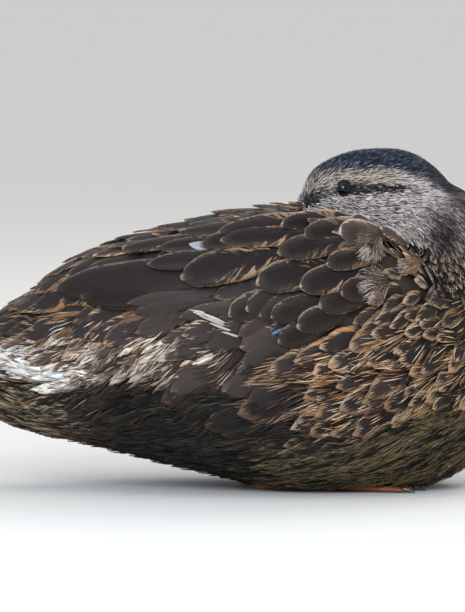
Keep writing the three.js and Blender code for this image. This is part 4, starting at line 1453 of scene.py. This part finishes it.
def addEye(side, wet, lidSkin, s):
    out, spots = eyeAxis[side], s["spots"]
    along = unit(headForward - out * (headForward @ out))
    turn = np.linspace(0, 2 * math.pi, spots, endpoint=False)
    around = along * np.cos(turn)[:, None] + np.cross(out, along) * np.sin(turn)[:, None]

    def ring(angle, radius):
        return eyeCentres[side] + (out * np.cos(angle) + around * np.sin(angle)) * radius

    polar = np.linspace(0.02, math.pi - 0.02, s["rings"])
    eye = gridShell("eye" + side.capitalize(), np.array([ring(angle, eyeRadius) for angle in polar]), False)
    addAttribute(eye.data, "gaze", np.degrees(np.repeat(polar, spots)))
    wide, high = (math.asin(s[key] / eyeRadius) for key in ("openHalfWidth", "openHalfHeight"))
    opening = 1 / np.sqrt((np.cos(turn) / wide) ** 2 + (np.sin(turn) / high) ** 2)
    opening = opening * (1 + 0.05 * np.cos(2 * turn))
    outer = math.radians(s["lidReach"])
    loops = [ring((opening + (outer - opening) * share)[:, None], eyeRadius + s["lidThickness"] * height)
             for share, height, _ in s["lidProfile"]]
    lids = gridShell("lids" + side.capitalize(), np.array(loops), True)
    addAttribute(lids.data, "edge", np.repeat([edge for _, _, edge in s["lidProfile"]], spots))
    finishPiece(eye, wet, "eye", "eye_" + side)
    finishPiece(lids, lidSkin, "head_plumage")


wet, lidSkin = eyeMaterial(eyeStyle), lidMaterial()
for side in ("left", "right"):
    addEye(side, wet, lidSkin, eyeStyle)


# the bill: the CAD's own shape, made smooth, with nostrils and a nail, orange with a dark saddle
billStyle = {
    "voxel": 0.6 * mm, "smoothing": 8,
    "nostrilAt": (33, 3.4),   # along the bill, and below its ridge
    "nostrilSize": (2.6, 1.1), "nostrilDepth": 0.8 * mm,
    "nailLength": 7, "nailRise": 0.35 * mm,
    "orange": 0xB87328, "saddle": 0x33241A, "nail": 0x2A1F19,
}


def billMaterial(s):
    _, read, noiseAt, finish = newMaterial("billHorn")
    fine, broad = noiseAt(None, 900.0, 4.0), noiseAt(None, 160.0, 3.0)
    orange = blend(broad, (*srgb(s["orange"]) * 0.7, 1), (*srgb(s["orange"]) * 1.2, 1))
    orange = blend(ramp(0.6, 0.68, fine) * 0.6, orange, s["saddle"])
    share = ramp(0.35, 0.65, read("saddle", 2) + (broad - 0.5) * 0.9)
    colour = blend(read("nail", 2), blend(share, orange, s["saddle"]), s["nail"])
    return finish({"Base Color": colour, "Roughness": broad * 0.2 + 0.5, "Specular IOR Level": 0.25},
                  fine, 0.25, 0.0003)


def billPiece(name, nodeName, material, s):
    thing = remeshed(joinedNodes(name, [nodeName]), s)
    points, normals = readVertices(thing.data), readVertices(thing.data, "normal")
    u, side, rise = headCoordinates(points)
    if nodeName == "bill_upper":
        tip, middle = u.max(), np.median(side)
        top = np.interp(u, [24, tip], [rise.max(), rise[u > tip - 4].max()])
        along = (u - s["nostrilAt"][0]) / s["nostrilSize"][0]
        below = (rise - top + s["nostrilAt"][1]) / s["nostrilSize"][1]
        nostril = np.exp(-along ** 2 - below ** 2) * (np.abs(side - middle) > 2)
        nail = smoothstep(s["nailLength"], s["nailLength"] - 1.2, tip - u) * (np.abs(side - middle) < 3.6)
        points = points - normals * (s["nostrilDepth"] * nostril)[:, None]
        points = points + normals * (s["nailRise"] * nail)[:, None]
        saddle = smoothstep(3.2, 1.0, top - rise + 0.36 * np.sin(u * 0.9)) * band(26, 60, u, 3)
    else:
        nostril, nail, saddle = 0 * u, 0 * u, 0.25 * smoothstep(-4, 2, side)
    setVertices(thing.data, points)
    addAttribute(thing.data, "saddle", np.clip(saddle + nostril, 0, 1))
    addAttribute(thing.data, "nail", nail)
    smoothShaded(thing.data)
    finishPiece(thing, material, "bill", nodeName)


billHorn = billMaterial(billStyle)
for name, nodeName in (("billUpper", "bill_upper"), ("billLower", "bill_lower")):
    billPiece(name, nodeName, billHorn, billStyle)


# legs and claws
legStyle = {
    "voxel": 0.8 * mm, "smoothing": 5,
    # the feet's colours are a dull orange, partly painted shade for where they lie under the body
    "orange": 0x9C5B28, "web": 0x5E3A22, "seam": 0x46291A,
    "scutes": 420.0,     # to a metre
    "scuteDepth": 0.0007,
}


def legMaterial(s):
    add, read, noiseAt, finish = newMaterial("scaledSkin")
    cells = add("ShaderNodeTexVoronoi", {"Vector": objectPlace(add, (1.5, 0.8, 0.8)), "Scale": s["scutes"]},
                feature="DISTANCE_TO_EDGE")
    noise = noiseAt(None, 300.0, 4.0)
    colour = blend(noise, (*srgb(s["orange"]) * 0.75, 1), (*srgb(s["orange"]) * 1.15, 1))
    colour = blend(read("thin", 2) * 0.85, colour, s["web"])
    colour = blend((1.0 - ramp(0.02, 0.12, cells)) * 0.7, colour, s["seam"])
    return finish({"Base Color": colour, "Roughness": noise * 0.25 + 0.4},
                  ramp(0.0, 0.2, cells) + noise * 0.3, 0.6, s["scuteDepth"])


def clawMaterial():
    add, _, noiseAt, finish = newMaterial("clawHorn")
    noise = noiseAt(objectPlace(add, (0.25, 1.0, 1.0)), 2200.0, 3.0)
    return finish({"Base Color": blend(noise, 0x17110E, 0x43352B), "Roughness": noise * 0.2 + 0.3},
                  noise, 0.3, 0.0002)


def addLeg(side, material, s):
    thing = remeshed(joinedNodes("leg" + side.capitalize(), ["leg_" + side]), s)
    points = readVertices(thing.data)
    points[:, 2] = np.maximum(points[:, 2], 0)
    setVertices(thing.data, points)
    toes = smoothstep(58, 66, points[:, 0] / mm)
    addAttribute(thing.data, "thin", toes * (1 - smoothstep(1.2, 2.0, points[:, 2] / mm)))
    smoothShaded(thing.data)
    finishPiece(thing, material, "foot", "leg_" + side)


scaly, horn = legMaterial(legStyle), clawMaterial()
for side in ("left", "right"):
    addLeg(side, scaly, legStyle)
    for toe in ("inner", "middle", "outer", "hind"):
        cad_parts[f"claw_{side}_{toe}"].material_slots[0].material = horn
say("claws")


# the skin, dull and dark under the coat: the down's own dark colour, darkened further with painted shade so
# the gaps between feathers read as shadow
def skinFrom(s):
    skin = linked("skin", form.data.copy())
    skin.data.name = "skin"
    points = surface["points"] - surface["normals"] * (coatDepth * mm)[:, None]
    for side, axis in eyeAxis.items():
        # a socket, so the skin stays behind the eye and its lids
        ahead, beside = fromAxis(points, side)
        room = np.sqrt(np.maximum(eyeRadius ** 2 - beside ** 2, 0)) - s["socketRoom"] * mm
        room += 9 * mm * smoothstep(5.6, 8.0, beside / mm)
        sunk = np.where((ahead > 0) & (beside < 8 * mm), np.maximum(ahead - room, 0), 0)
        points -= sunk[:, None] * axis
    points[:, 2] = np.maximum(points[:, 2], 0.5 * mm)
    setVertices(skin.data, points)
    smoothShaded(skin.data)
    # painted shade: the skin takes the feathers' cores, dimmed, so that where it shows between them it reads
    # as shadow
    dark, core, rim = readHead(places["x"], places["z"], places["u"], places["rise"], headMarks)
    headDownShade = core * (0.3 + 0.5 * dark)[:, None] + rim * (0.16 * (1 - dark))[:, None]
    bodyDownShade = tractColour("core") * 0.7 + tractColour("rim") * 0.04
    share = np.clip(places["head"] * 1.6, 0, 1)[:, None]
    addAttribute(skin.data, "coat", rgba(bodyDownShade * (1 - share) + headDownShade * share))
    return skin


def skinMaterial():
    _, read, noiseAt, finish = newMaterial("shadedSkinDown")
    noise = noiseAt(None, 420.0, 4.0)
    return finish({"Base Color": scaled(read("coat"), noise * 0.9 + 0.55), "Roughness": 0.85},
                  noise, 0.6, 0.0008)


finishPiece(skinFrom(skinStyle), skinMaterial(), "plumage", *formStyle["flesh"])
bpy.data.objects.remove(form)
